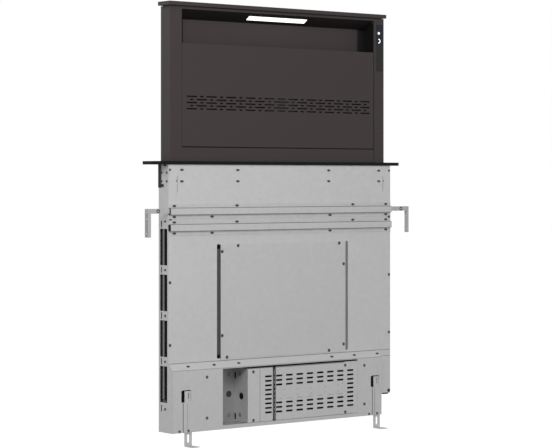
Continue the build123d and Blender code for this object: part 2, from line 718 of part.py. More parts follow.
# Hat-section channels: two flanges on the front panel and a raised middle, open at both ends.
for name, channel_top in (("upper", UPPER_CHANNEL_TOP), ("lower", LOWER_CHANNEL_TOP)):
    high = -channel_top
    low = high - CHANNEL_HEIGHT
    web = chassis_front - CHANNEL_DEPTH
    with BuildPart() as channel:
        with BuildSketch(Plane.YZ.offset(-chassis_half)) as hat:
            with BuildLine():
                Polyline(
                    (chassis_front, high + CHANNEL_FLANGE),
                    (channel_face, high + CHANNEL_FLANGE),
                    (channel_face, high),
                    (web, high),
                    (web, low),
                    (channel_face, low),
                    (channel_face, low - CHANNEL_FLANGE),
                    (chassis_front, low - CHANNEL_FLANGE),
                    (chassis_front, low + SHEET),
                    (web + SHEET, low + SHEET),
                    (web + SHEET, high - SHEET),
                    (chassis_front, high - SHEET),
                    close=True,
                )
            make_face()
        extrude(amount=2 * chassis_half)
        with BuildSketch(front_plane) as holes:
            with Locations(*channel_screws(channel_top)):
                Circle(clearance_hole)
        extrude(amount=SHEET, mode=Mode.SUBTRACT)
    channel.part.label = f"{name}_channel"
    export_step(channel.part, f"parts/{name}_channel.step")

with BuildPart() as step_strip:
    with BuildSketch(Plane.YZ.offset(-wall_inner)) as step_section:
        with BuildLine():
            Polyline(
                (chassis_front, -chassis_drop),
                (box_front, -box_top),
                (box_front + step_thickness, -box_top),
                (chassis_front + step_thickness, -chassis_drop),
                close=True,
            )
        make_face()
    extrude(amount=wall_inner + box_wall)
    with BuildSketch(step_plane) as holes:
        with Locations(*step_places):
            Circle(clearance_hole)
    extrude(amount=-2 * SHEET, mode=Mode.SUBTRACT)
step_strip.part.label = "step_strip"
export_step(step_strip.part, "parts/step_strip.step")

# ================================================================ lower box
box_plane = Plane.XZ.offset(-box_front)
box_window_middle = -box_top - BOX_WINDOW_DROP - BOX_WINDOW_HEIGHT / 2
with BuildPart() as lower_box_front:
    with BuildSketch(box_plane) as front_outline:
        with BuildLine():
            Polyline(
                (-wall_inner, -box_top),
                (box_wall, -box_top),
                (box_wall, -box_bottom),
                (-wall_inner, -box_bottom),
                close=True,
            )
        make_face()
        with Locations(((tray_left + tray_right) / 2, (tray_top - tray_bottom) / 2)):
            Rectangle(tray_right - tray_left, tray_top + tray_bottom, mode=Mode.SUBTRACT)
        with Locations(*box_places):
            Circle(clearance_hole, mode=Mode.SUBTRACT)
    extrude(amount=-SHEET)
    for centre in foot_centres.values():
        rib = centre + RIB_SHIFT
        block(
            (rib - RIB_WIDTH / 2, rib + RIB_WIDTH / 2),
            (box_front - RIB_PROUD, box_front),
            (-box_bottom, box_window_middle - BOX_WINDOW_HEIGHT / 2),
        )
    with BuildSketch(box_plane.offset(RIB_PROUD)) as foot_openings:
        with Locations(*[(x + BOX_WINDOW_SHIFT, box_window_middle) for x in foot_centres.values()]):
            RectangleRounded(BOX_WINDOW_WIDTH, BOX_WINDOW_HEIGHT, BOX_WINDOW_CORNER)
        with Locations(*foot_places):
            Circle(clearance_hole)
    extrude(amount=-RIB_PROUD - SHEET, mode=Mode.SUBTRACT)
lower_box_front.part.label = "lower_box_front"
export_step(lower_box_front.part, "parts/lower_box_front.step")

with BuildPart() as recess_tray:
    block(
        (tray_left - SHEET, tray_right + SHEET),
        (box_inner, tray_back),
        (-tray_bottom - SHEET, floor_bottom),
    )
    block(
        (tray_left, tray_right),
        (box_inner, tray_inner_y),
        (-tray_bottom, tray_top),
        Mode.SUBTRACT,
    )
    with BuildSketch(Plane.XZ.offset(-tray_back)) as back_hole:
        with Locations(back_hole_place):
            Circle(BACK_HOLE_RADIUS)
    extrude(amount=SHEET, mode=Mode.SUBTRACT)
recess_tray.part.label = "recess_tray"
export_step(recess_tray.part, "parts/recess_tray.step")

with BuildPart() as box_right_wall:
    with BuildSketch(Plane.YZ.offset(box_wall)) as wall_outline:
        with BuildLine():
            Polyline(
                (chassis_front, -chassis_drop),
                (box_front, -box_top),
                (box_front, -box_bottom),
                (flange_inner_y, -box_bottom),
                (flange_inner_y, -chassis_drop),
                close=True,
            )
        make_face()
        with Locations((drive_y, -drive_drop)):
            Circle(MOTOR_RADIUS + MOTOR_WALL_GAP, mode=Mode.SUBTRACT)
    extrude(amount=SHEET)
box_right_wall.part.label = "box_right_wall"
export_step(box_right_wall.part, "parts/box_right_wall.step")

with BuildPart() as box_bottom_plate:
    block((-wall_inner, box_wall), (box_inner, flange_inner_y), (-box_bottom, -box_bottom + SHEET))
    for centre in foot_centres.values():
        reach = FOOT_LEG_WIDTH / 2 + FOOT_NOTCH_GAP
        block(
            (centre - reach, centre + reach),
            (box_inner, leg_back + FOOT_NOTCH_GAP),
            (-box_bottom, -box_bottom + SHEET),
            Mode.SUBTRACT,
        )
box_bottom_plate.part.label = "box_bottom_plate"
export_step(box_bottom_plate.part, "parts/box_bottom_plate.step")

with BuildPart() as box_back_plate:
    back_half = wall_inner - WALL_FLANGE
    with BuildSketch(Plane.XZ.offset(-wall_back)) as back_outline:
        with BuildLine():
            Polyline(
                (-back_half, -chassis_drop),
                (back_half, -chassis_drop),
                (back_half, -wing_bottom),
                (box_right, -wing_bottom),
                (box_right, -box_bottom),
                (-back_half, -box_bottom),
                close=True,
            )
        make_face()
        with Locations(back_hole_place):
            Circle(BACK_HOLE_RADIUS, mode=Mode.SUBTRACT)
    extrude(amount=SHEET)
box_back_plate.part.label = "box_back_plate"
export_step(box_back_plate.part, "parts/box_back_plate.step")

with BuildPart() as plenum_floor:
    block((-wall_inner, box_wall), (box_inner, flange_inner_y), (floor_bottom, -box_top))
    block(
        (-wall_inner, -tower_half),
        (drive_y - belt_outer - SHOE_JAW, drive_y + belt_outer + SHOE_JAW),
        (floor_bottom, -box_top),
        Mode.SUBTRACT,
    )
plenum_floor.part.label = "plenum_floor"
export_step(plenum_floor.part, "parts/plenum_floor.step")

# ================================================================ electronics box
cable_y = box_front + CABLE_HOLE_SETBACK
notch_rows = (electronics_top + NOTCH_INSETS[0], electronics_bottom - NOTCH_INSETS[1])
with BuildPart() as electronics_box:
    block(
        (electronics_left, electronics_right),
        (box_inner, tray_inner_y),
        (-electronics_bottom, -electronics_top),
    )
    block(
        (electronics_left + SHEET, electronics_right - SHEET),
        (box_inner, inner_back),
        (-electronics_bottom + SHEET, -electronics_top - SHEET),
        Mode.SUBTRACT,
    )
    with BuildSketch(Plane.YZ.offset(electronics_left)) as cable_hole:
        with Locations((cable_y, -box_top - CABLE_HOLE_DROP)):
            Circle(CABLE_HOLE_RADIUS)
        with Locations(*[(inner_back - NOTCH_DEPTH / 2, -drop) for drop in notch_rows]):
            Rectangle(NOTCH_DEPTH, NOTCH_HEIGHT)
    extrude(amount=SHEET, mode=Mode.SUBTRACT)
electronics_box.part.label = "electronics_box"
export_step(electronics_box.part, "parts/electronics_box.step")

first_column = terminal_right - VENT_LEFT_OFFSET
column_pitch = (electronics_right - VENT_RIGHT_MARGIN - first_column) / (VENT_COLUMNS - 1)
first_row = electronics_top + VENT_TOP_MARGIN
row_pitch = (electronics_bottom - VENT_BOTTOM_MARGIN - first_row) / (VENT_ROWS - 1)
vent_columns = [first_column + i * column_pitch for i in range(VENT_COLUMNS)]
vent_rows = [-first_row - i * row_pitch for i in range(VENT_ROWS)]
full_columns = (vent_columns[0], vent_columns[-1])
vent_places = [
    (x, z)
    for x in vent_columns
    for i, z in enumerate(vent_rows)
    if x in full_columns or i not in VENT_PLAIN_ROWS
]
terminal_vents = [(x, z) for x, z in vent_places if x < terminal_right]
control_vents = [(x, z) for x, z in vent_places if x > terminal_right]
for name, low_x, high_x, vents in (
    ("terminal_cover", electronics_left, terminal_right, terminal_vents),
    ("control_cover", control_left, electronics_right, control_vents),
):
    with BuildPart() as cover:
        block((low_x, high_x), (box_front, box_inner), (-electronics_bottom, -electronics_top))
        if name == "control_cover":
            block(
                (low_x, low_x + SHEET),
                (box_inner, box_inner + COVER_RETURN),
                (-electronics_bottom + SHEET, -electronics_top - SHEET),
            )
            with BuildSketch(Plane.YZ.offset(low_x)) as return_slots:
                with Locations(*[(box_inner + COVER_RETURN / 2, z) for z in vent_rows]):
                    Rectangle(RETURN_SLOT_LENGTH, VENT_SLOT_HEIGHT)
            extrude(amount=SHEET, mode=Mode.SUBTRACT)
        with BuildSketch(box_plane) as vent_slots:
            with Locations(*vents):
                SlotOverall(VENT_SLOT_WIDTH, VENT_SLOT_HEIGHT)
            with Locations(*[(x, z) for x, z in electronics_places if low_x < x < high_x]):
                Circle(clearance_hole)
        extrude(amount=-SHEET, mode=Mode.SUBTRACT)
    cover.part.label = name
    export_step(cover.part, f"parts/{name}.step")

board_middle = (
    electronics_right - SHEET - BOARD_RIGHT_GAP - BOARD_WIDTH / 2,
    -electronics_bottom + BOARD_BOTTOM_GAP + BOARD_HEIGHT / 2,
)
spacer_grid = (BOARD_WIDTH - 2 * SPACER_INSET, BOARD_HEIGHT - 2 * SPACER_INSET)
with BuildPart() as board_spacers:
    with BuildSketch(Plane.XZ.offset(-inner_back)) as spacer_plan:
        with Locations(board_middle):
            with GridLocations(*spacer_grid, 2, 2):
                Circle(SPACER_RADIUS)
    extrude(amount=SPACER_HEIGHT)
board_spacers.part.label = "board_spacers"
export_step(board_spacers.part, "parts/board_spacers.step")

board_front = inner_back - SPACER_HEIGHT - BOARD_THICKNESS
with BuildPart() as control_board:
    with BuildSketch(Plane.XZ.offset(SPACER_HEIGHT - inner_back)) as board_outline:
        with Locations(board_middle):
            RectangleRounded(BOARD_WIDTH, BOARD_HEIGHT, BOARD_CORNER)
    extrude(amount=BOARD_THICKNESS)
    for x, z, width, height, depth in BOARD_PARTS:
        with Locations((board_middle[0] + x, board_front - depth / 2, board_middle[1] + z)):
            Box(width, depth, height)
control_board.part.label = "control_board"
export_step(control_board.part, "parts/control_board.step")

transformer_x = board_middle[0] - BOARD_WIDTH / 2 - TRANSFORMER_GAP - TRANSFORMER_WIDTH / 2
with BuildPart() as transformer:
    with Locations(
        (transformer_x, inner_back - TRANSFORMER_DEPTH / 2, -electronics_top - TRANSFORMER_DROP)
    ):
        Box(TRANSFORMER_WIDTH, TRANSFORMER_DEPTH, TRANSFORMER_HEIGHT)
        Box(COIL_WIDTH, COIL_DEPTH, COIL_HEIGHT)
transformer.part.label = "transformer"
export_step(transformer.part, "parts/transformer.step")

terminal_x = electronics_left + SHEET + TERMINAL_GAP + TERMINAL_WIDTH / 2
terminal_z = -electronics_top - TERMINAL_DROP
with BuildPart() as terminal_block:
    with Locations((terminal_x, inner_back - TERMINAL_DEPTH / 2, terminal_z)):
        Box(TERMINAL_WIDTH, TERMINAL_DEPTH, TERMINAL_HEIGHT)
    way_pitch = TERMINAL_WIDTH / TERMINAL_WAYS
    with BuildSketch(Plane.XZ.offset(TERMINAL_DEPTH - inner_back)) as ways:
        with Locations((terminal_x, terminal_z)):
            with GridLocations(way_pitch, TERMINAL_HEIGHT / 2, TERMINAL_WAYS, 2):
                Circle(way_pitch / 4)
    extrude(amount=-TERMINAL_DEPTH / 2, mode=Mode.SUBTRACT)
terminal_block.part.label = "terminal_block"
export_step(terminal_block.part, "parts/terminal_block.step")

# ================================================================ guides and lift drive
with BuildPart() as top_guides:
    for _, side in SIDES:
        block(
            span(side, guide_inner, wall_inner),
            (chassis_front + GUIDE_FRONT_GAP, flange_inner_y),
            (-GUIDE_DROP, chassis_top),
        )
        block(
            span(side, guide_inner, guide_inner + GUIDE_LIP),
            (flange_inner_y, pan_back),
            (-GUIDE_DROP, chassis_top),
        )
        block(
            span(side, guide_inner, chassis_half),
            (cheek_front, wall_back + GUIDE_CHEEK_PROUD),
            (-GUIDE_DROP, chassis_top),
        )
        with BuildSketch(side_plane(side, wall_inner)) as tapped_holes:
            with Locations(*side_spots(side, guide_places)):
                Circle(clearance_hole)
        extrude(amount=-WALL_SCREW_LENGTH, mode=Mode.SUBTRACT)
top_guides.part.label = "top_guides"
export_step(top_guides.part, "parts/top_guides.step")

rail_near = wall_inner - RAIL_DEPTH
rail_top = -(IDLER_DROP + belt_outer + RAIL_END_GAP)
rail_bottom = -(drive_drop - PULLEY_RADIUS - RAIL_END_GAP)
with BuildPart() as guide_rails:
    for _, side in SIDES:
        block(
            span(side, rail_near, wall_inner),
            (drive_y - RAIL_WIDTH / 2, drive_y + RAIL_WIDTH / 2),
            (rail_bottom, rail_top),
        )
        block(
            span(side, rail_near, wall_inner - RAIL_WALL),
            (drive_y - RAIL_WIDTH / 2 + RAIL_WALL, drive_y + RAIL_WIDTH / 2 - RAIL_WALL),
            (rail_bottom, rail_top),
            Mode.SUBTRACT,
        )
guide_rails.part.label = "guide_rails"
export_step(guide_rails.part, "parts/guide_rails.step")

belt_middle = -(IDLER_DROP + drive_drop) / 2
belt_length = drive_drop - IDLER_DROP
with BuildPart() as drive_belts:
    for _, side in SIDES:
        with BuildSketch(side_plane(side, belt_near)) as loop:
            with Locations((drive_y, side * belt_middle)):
                SlotCenterToCenter(belt_length, 2 * belt_outer, rotation=90)
                SlotCenterToCenter(belt_length, 2 * belt_inner, rotation=90, mode=Mode.SUBTRACT)
        extrude(amount=BELT_WIDTH)
drive_belts.part.label = "drive_belts"
export_step(drive_belts.part, "parts/drive_belts.step")

# Toothed pulleys on their shafts; each shaft runs into its gearbox.
with BuildPart() as drive_pulleys:
    for _, side in SIDES:
        with BuildSketch(side_plane(side, belt_near)) as toothed:
            with Locations((drive_y, -side * drive_drop)):
                Circle(PULLEY_RADIUS)
                with PolarLocations(PULLEY_RADIUS, PULLEY_TEETH):
                    Circle(TOOTH_RADIUS, mode=Mode.SUBTRACT)
        extrude(amount=BELT_WIDTH)
        shaft_end = wall_inner - SHAFT_END_GAP
        shaft_start = gearbox_outer - SHAFT_SOCKET + SHAFT_END_GAP
        with BuildSketch(side_plane(side, shaft_start)) as shaft:
            with Locations((drive_y, -side * drive_drop)):
                Circle(SHAFT_RADIUS)
        extrude(amount=shaft_end - shaft_start)
drive_pulleys.part.label = "drive_pulleys"
export_step(drive_pulleys.part, "parts/drive_pulleys.step")

with BuildPart() as idler_pulleys:
    for _, side in SIDES:
        with BuildSketch(side_plane(side, belt_near)) as idler:
            with Locations((drive_y, -side * IDLER_DROP)):
                Circle(PULLEY_RADIUS)
                Circle(SHAFT_RADIUS + SHAFT_GAP, mode=Mode.SUBTRACT)
        extrude(amount=BELT_WIDTH)
idler_pulleys.part.label = "idler_pulleys"
export_step(idler_pulleys.part, "parts/idler_pulleys.step")

# Idler pins: a head inside the pulley, a shank through it and a collar against the side wall.
with BuildPart() as idler_pins:
    pin_start = belt_near - SEAT_GAP - PIN_HEAD_THICKNESS
    for _, side in SIDES:
        for start, end, radius in (
            (pin_start, belt_near - SEAT_GAP, PIN_HEAD_RADIUS),
            (pin_start, wall_inner, SHAFT_RADIUS),
            (belt_far + SEAT_GAP, wall_inner, PIN_HEAD_RADIUS),
        ):
            with BuildSketch(side_plane(side, start)) as pin:
                with Locations((drive_y, -side * IDLER_DROP)):
                    Circle(radius)
            extrude(amount=end - start)
idler_pins.part.label = "idler_pins"
export_step(idler_pins.part, "parts/idler_pins.step")

with BuildPart() as motor_brackets:
    bracket_bottom = -wing_bottom + SHEET
    for _, side in SIDES:
        block(
            span(side, gearbox_outer, bracket_outer),
            (panel_back, flange_inner_y),
            (bracket_bottom, bracket_bottom + BRACKET_HEIGHT),
        )
        with BuildSketch(side_plane(side, gearbox_outer)) as shaft_hole:
            with Locations((drive_y, -side * drive_drop)):
                Circle(SHAFT_RADIUS + BRACKET_HOLE_GAP)
        extrude(amount=BRACKET_THICKNESS, mode=Mode.SUBTRACT)
motor_brackets.part.label = "motor_brackets"
export_step(motor_brackets.part, "parts/motor_brackets.step")

with BuildPart() as gearboxes:
    for _, side in SIDES:
        with BuildSketch(side_plane(side, gearbox_inner)) as gearbox:
            with Locations((drive_y, -side * drive_drop)):
                Circle(GEARBOX_RADIUS)
        extrude(amount=GEARBOX_LENGTH)
        with BuildSketch(side_plane(side, gearbox_outer)) as socket:
            with Locations((drive_y, -side * drive_drop)):
                Circle(SHAFT_RADIUS + SHAFT_GAP)
        extrude(amount=-SHAFT_SOCKET, mode=Mode.SUBTRACT)
gearboxes.part.label = "gearboxes"
export_step(gearboxes.part, "parts/gearboxes.step")

with BuildPart() as lift_motors:
    for _, side in SIDES:
        for start, end, radius in (
            (motor_inner, gearbox_inner, MOTOR_RADIUS),
            (motor_inner - MOTOR_BELL_LENGTH, motor_inner, MOTOR_BELL_RADIUS),
        ):
            with BuildSketch(side_plane(side, start)) as motor:
                with Locations((drive_y, -side * drive_drop)):
                    Circle(radius)
            extrude(amount=end - start)
lift_motors.part.label = "lift_motors"
export_step(lift_motors.part, "parts/lift_motors.step")

with BuildPart() as limit_switches:
    switch_front = panel_back + SWITCH_SETBACK
    upper_low = shoe_top + SWITCH_GAP
    lower_high = tower_bottom - LIFT_TRAVEL - SWITCH_GAP
    for low in (upper_low, lower_high - SWITCH_HEIGHT):
        block(
            (-wall_inner, SWITCH_WIDTH - wall_inner),
            (switch_front, switch_front + SWITCH_DEPTH),
            (low, low + SWITCH_HEIGHT),
        )
limit_switches.part.label = "limit_switches"
export_step(limit_switches.part, "parts/limit_switches.step")

# ================================================================ side arms and feet
arm_top = -UPPER_CHANNEL_TOP - SHEET - SEAT_GAP
arm_front = chassis_front - CHANNEL_DEPTH + SHEET + SEAT_GAP
arm_back = arm_front + ARM_THICKNESS
arm_end = chassis_half + ARM_REACH
for name, side in SIDES:
    with BuildPart() as arm:
        block(
            span(side, arm_end - ARM_LENGTH, arm_end),
            (arm_front, arm_back),
            (arm_top - ARM_HEIGHT, arm_top),
        )
        block(
            span(side, arm_end - ARM_LEG_WIDTH, arm_end),
            (arm_front, arm_back),
            (arm_top - ARM_LEG_LENGTH, arm_top),
        )
        block(
            span(side, arm_end - ARM_THICKNESS, arm_end),
            (arm_front, arm_front + ARM_LEG_DEPTH),
            (arm_top - ARM_LEG_LENGTH, arm_top),
        )
        outer_bend = arm.edges().filter_by(Axis.Z).sort_by(
            lambda edge: edge.center().Y - side * edge.center().X
        )[0]
        fillet(outer_bend, ARM_BEND_RADIUS)
        with BuildSketch(Plane.XZ.offset(-arm_front)) as face_hole:
            with Locations((side * (arm_end - ARM_FACE_HOLE), arm_top - ARM_HEIGHT / 2)):
                Circle(ARM_HOLE_RADIUS)
        extrude(amount=-ARM_THICKNESS, mode=Mode.SUBTRACT)
        hole_y = arm_back + (ARM_LEG_DEPTH - ARM_THICKNESS) / 2
        hole_rows = (arm_top - ARM_FIRST_HOLE, arm_top - ARM_FIRST_HOLE - ARM_HOLE_PITCH)
        with BuildSketch(side_plane(side, arm_end)) as leg_holes:
            with Locations(*side_spots(side, [(hole_y, row) for row in hole_rows])):
                Circle(ARM_HOLE_RADIUS)
        extrude(amount=-ARM_THICKNESS, mode=Mode.SUBTRACT)
    arm.part.label = f"{name}_arm"
    export_step(arm.part, f"parts/{name}_arm.step")

foot_low = -box_bottom - FOOT_DROP
leg_top = -box_top - FOOT_TOP_INSET
slot_low = -box_bottom + FOOT_SLOT_END
for name, centre in foot_centres.items():
    leg_range = (centre - FOOT_LEG_WIDTH / 2, centre + FOOT_LEG_WIDTH / 2)
    with BuildPart() as foot:
        block(leg_range, (leg_front, leg_back), (foot_low, leg_top))
        block(leg_range, (leg_back - FOOT_REACH, leg_back), (foot_low, foot_low + FOOT_THICKNESS))
        heel = foot.edges().filter_by(Axis.X).sort_by(lambda edge: edge.center().Y - edge.center().Z)[-1]
        fillet(heel, FOOT_BEND_RADIUS)
        with BuildSketch(Plane.XZ.offset(-leg_front)) as leg_slots:
            with Locations((centre, slot_low + FOOT_SLOT_LENGTH / 2)):
                SlotOverall(FOOT_SLOT_LENGTH, FOOT_SLOT_WIDTH, rotation=90)
            with Locations((centre, -box_bottom - FOOT_HOLE_DROP - FOOT_HOLE_LENGTH / 2)):
                SlotOverall(FOOT_HOLE_LENGTH, FOOT_SLOT_WIDTH, rotation=90)
            with Locations((centre + FOOT_SLIT_SHIFT, leg_top - FOOT_SLIT_DROP - FOOT_SLIT_LENGTH / 2)):
                SlotOverall(FOOT_SLIT_LENGTH, FOOT_SLIT_WIDTH, rotation=90)
        extrude(amount=-FOOT_THICKNESS, mode=Mode.SUBTRACT)
        with BuildSketch(Plane.XY.offset(foot_low)) as floor_hole:
            with Locations((centre, leg_front - FOOT_REACH / 2)):
                Circle(FOOT_HOLE_RADIUS)
        extrude(amount=FOOT_THICKNESS, mode=Mode.SUBTRACT)
    foot.part.label = f"{name}_foot"
    export_step(foot.part, f"parts/{name}_foot.step")

# ================================================================ screws
panel_screws = pan_screws(front_plane, panel_places)
flange_screws = pan_screws(Plane.XZ.offset(-channel_face), channel_places + cover_places)
wall_screws = [
    pan_screws(
        side_plane(side, chassis_half),
        side_spots(side, guide_places + rail_places),
        WALL_SCREW_LENGTH,
    )
    for _, side in SIDES
]
with BuildPart() as chassis_screws:
    add(panel_screws)
    add(wall_screws)
chassis_screws.part.label = "chassis_screws"
export_step(chassis_screws.part, "parts/chassis_screws.step")

with BuildPart() as cover_screws:
    add(flange_screws)
cover_screws.part.label = "cover_screws"
export_step(cover_screws.part, "parts/cover_screws.step")

front_screws = pan_screws(box_plane, box_places + electronics_places)
slope_screws = pan_screws(step_plane, step_places)
with BuildPart() as box_screws:
    add(front_screws)
    add(slope_screws)
box_screws.part.label = "box_screws"
export_step(box_screws.part, "parts/box_screws.step")

clamp_screws = pan_screws(box_plane, foot_places)
with BuildPart() as foot_screws:
    add(clamp_screws)
foot_screws.part.label = "foot_screws"
export_step(foot_screws.part, "parts/foot_screws.step")

# ================================================================ tower
with BuildPart() as tower_cap:
    with BuildSketch(Plane.XY.offset(cap_bottom)) as cap_plan:
        RectangleRounded(TOWER_WIDTH + 2 * CAP_OVERHANG, TOWER_DEPTH + 2 * CAP_OVERHANG, CAP_CORNER)
    extrude(amount=CAP_HEIGHT)
    fillet(tower_cap.faces().sort_by(Axis.Z)[-1].edges(), CAP_EDGE)
    with BuildSketch(Plane.XY.offset(tower_top)) as spigot:
        Rectangle(TOWER_WIDTH - 2 * SPIGOT_INSET, TOWER_DEPTH - 2 * SPIGOT_INSET)
    extrude(amount=CAP_JOINT)
tower_cap.part.label = "tower_cap"
export_step(tower_cap.part, "parts/tower_cap.step")

for name, side in SIDES:
    with BuildPart() as post:
        block(span(side, post_inner, tower_half), (tower_front, tower_back), (tower_bottom, tower_top))
        block(
            span(side, post_inner + TOWER_SHEET, tower_half - TOWER_SHEET),
            (tower_front + TOWER_SHEET, tower_back - TOWER_SHEET),
            (tower_bottom, tower_top),
            Mode.SUBTRACT,
        )
        if side > 0:
            with BuildSketch(tower_plane) as touch_window:
                with Locations(touch_middle):
                    RectangleRounded(
                        TOUCH_WIDTH + 2 * TOUCH_JOINT,
                        TOUCH_HEIGHT + 2 * TOUCH_JOINT,
                        TOUCH_CORNER + TOUCH_JOINT,
                    )
            extrude(amount=-TOWER_SHEET, mode=Mode.SUBTRACT)
    post.part.label = f"{name}_post"
    export_step(post.part, f"parts/{name}_post.step")

with BuildPart() as header_plate:
    block((-post_inner, post_inner), (tower_front, tower_front + TOWER_SHEET), (header_bottom, tower_top))
    block((-post_inner, post_inner), (tower_front, tower_back), (tower_top - TOWER_SHEET, tower_top))
header_plate.part.label = "header_plate"
export_step(header_plate.part, "parts/header_plate.step")

# The light housing slopes down from the header to the recess back.
slope_front = tower_front + TOWER_SHEET
slope_drop = header_bottom - light_back
slope_run = recess_back - slope_front
slope_length = (slope_drop**2 + slope_run**2) ** 0.5
slope_rise = TOWER_SHEET * slope_length / slope_run
light_plane = Plane(
    origin=(0, (slope_front + recess_back) / 2, (header_bottom + light_back) / 2),
    x_dir=(1, 0, 0),
    z_dir=(0, -slope_drop, -slope_run),
)
with BuildPart() as light_housing:
    with BuildSketch(Plane.YZ.offset(-post_inner)) as slope_section:
        with BuildLine():
            Polyline(
                (slope_front, header_bottom),
                (recess_back, light_back),
                (recess_back, light_back + slope_rise),
                (slope_front, header_bottom + slope_rise),
                close=True,
            )
        make_face()
    extrude(amount=2 * post_inner)
    with BuildSketch(light_plane) as lens_slot:
        Rectangle(LENS_WIDTH, LENS_BREADTH)
    extrude(amount=-2 * TOWER_SHEET, mode=Mode.SUBTRACT)
light_housing.part.label = "light_housing"
export_step(light_housing.part, "parts/light_housing.step")

with BuildPart() as light_lens:
    with BuildSketch(light_plane.offset(LENS_PROUD)) as lens_outline:
        Rectangle(LENS_WIDTH, LENS_BREADTH)
    extrude(amount=-LENS_THICKNESS)
light_lens.part.label = "light_lens"
export_step(light_lens.part, "parts/light_lens.step")

with BuildPart() as led_board:
    board_face = light_plane.offset(LENS_PROUD - LENS_THICKNESS - LED_BOARD_THICKNESS)
    with BuildSketch(board_face.offset(-LED_BOARD_THICKNESS)) as board_outline:
        Rectangle(LENS_WIDTH, LED_BOARD_BREADTH)
    extrude(amount=LED_BOARD_THICKNESS)
    with BuildSketch(board_face) as leds:
        with GridLocations(LENS_WIDTH / LED_COUNT, LED_SIZE, LED_COUNT, 1):
            Rectangle(LED_SIZE, LED_SIZE)
    extrude(amount=LED_BOARD_THICKNESS)
led_board.part.label = "led_board"
export_step(led_board.part, "parts/led_board.step")

back_panel_face = tower_back - TOWER_SHEET
with BuildPart() as recess_back_panel:
    recess_low = recess_floor - RECESS_BACK_DROP
    block(
        (-recess_back_half, recess_back_half),
        (recess_back, recess_back + TOWER_SHEET),
        (recess_low, light_back),
    )
    for _, side in SIDES:
        block(
            span(side, recess_back_half - TOWER_SHEET, recess_back_half),
            (recess_back, back_panel_face),
            (recess_low, light_back),
        )
recess_back_panel.part.label = "recess_back_panel"
export_step(recess_back_panel.part, "parts/recess_back_panel.step")

# Long and short slots take turns along a row and from row to row; the middle column is wider.
column_pitch = BAND_PERIOD / 2
columns = int((band_half - (BAND_MIDDLE_EXTRA + BAND_LONG_SLOT) / 2) / column_pitch)
band_slots = []
for row in range(BAND_ROWS):
    row_z = band_top - row * BAND_ROW_PITCH
    for column in range(-columns, columns + 1):
        length = BAND_LONG_SLOT if (row + column) % 2 else BAND_SHORT_SLOT
        if column == 0:
            band_slots.append((length + BAND_MIDDLE_EXTRA, (0, row_z)))
        else:
            outward = BAND_MIDDLE_EXTRA / 2 if column > 0 else -BAND_MIDDLE_EXTRA / 2
            band_slots.append((length, (column * column_pitch + outward, row_z)))

panel_half = post_inner - PANEL_JOINT / 2
with BuildPart() as front_panel:
    block(
        (-panel_half, panel_half),
        (tower_front, tower_front + TOWER_SHEET),
        (LOWER_PANEL_TOP + PANEL_JOINT, recess_floor),
    )
    block(
        (-panel_half, panel_half),
        (tower_front, tower_front + PANEL_FLANGE),
        (recess_floor - TOWER_SHEET, recess_floor),
    )
    with BuildSketch(tower_plane) as band:
        for length, place in band_slots:
            with Locations(place):
                SlotOverall(length, BAND_SLOT_HEIGHT)
    extrude(amount=-TOWER_SHEET, mode=Mode.SUBTRACT)
front_panel.part.label = "front_panel"
export_step(front_panel.part, "parts/front_panel.step")

ledge_front = tower_front + TOWER_SHEET
with BuildPart() as lower_front_panel:
    block((-post_inner, post_inner), (tower_front, ledge_front), (tower_bottom, LOWER_PANEL_TOP))
    block(
        (-post_inner, post_inner),
        (ledge_front, ledge_front + LEDGE_DEPTH),
        (LOWER_PANEL_TOP - TOWER_SHEET, LOWER_PANEL_TOP),
    )
lower_front_panel.part.label = "lower_front_panel"
export_step(lower_front_panel.part, "parts/lower_front_panel.step")

with BuildPart() as tower_back_panel:
    block(
        (-post_inner, post_inner),
        (back_panel_face, tower_back),
        (tower_bottom, tower_top - TOWER_SHEET),
    )
tower_back_panel.part.label = "tower_back_panel"
export_step(tower_back_panel.part, "parts/tower_back_panel.step")

retainer_front = ledge_front + RETAINER_SETBACK
filter_front = retainer_front + TOWER_SHEET
filter_back = filter_front + FILTER_THICKNESS
for name, side in SIDES:
    with BuildPart() as grease_filter:
        outer = post_inner - FILTER_SIDE_GAP
        block(
            span(side, FILTER_MIDDLE_GAP, outer),
            (filter_front, filter_back),
            (LOWER_PANEL_TOP, filter_top),
        )
        for low_y, high_y in (
            (filter_front, filter_front + FILTER_RECESS),
            (filter_back - FILTER_RECESS, filter_back),
        ):
            block(
                span(side, FILTER_MIDDLE_GAP + FILTER_FRAME, outer - FILTER_FRAME),
                (low_y, high_y),
                (LOWER_PANEL_TOP + FILTER_FRAME, filter_top - FILTER_FRAME),
                Mode.SUBTRACT,
            )
    grease_filter.part.label = f"{name}_grease_filter"
    export_step(grease_filter.part, f"parts/{name}_grease_filter.step")

with BuildPart() as filter_retainer:
    block(
        (-RETAINER_HALF, RETAINER_HALF),
        (retainer_front, filter_front),
        (LOWER_PANEL_TOP, retainer_top),
    )
    with BuildSketch(Plane.XZ.offset(-retainer_front)) as grip_holes:
        with Locations((0, retainer_top - HANDLE_HOLE), (0, LOWER_PANEL_TOP + HANDLE_HOLE)):
            Circle(HANDLE_HOLE / 2)
    extrude(amount=-TOWER_SHEET, mode=Mode.SUBTRACT)
filter_retainer.part.label = "filter_retainer"
export_step(filter_retainer.part, "parts/filter_retainer.step")

# The touch glass lies flush in the right post's window, on its board.
with BuildPart() as touch_glass:
    with BuildSketch(tower_plane) as glass_outline:
        with Locations(touch_middle):
            RectangleRounded(TOUCH_WIDTH, TOUCH_HEIGHT, TOUCH_CORNER)
    extrude(amount=-TOWER_SHEET)
touch_glass.part.label = "touch_glass"
export_step(touch_glass.part, "parts/touch_glass.step")

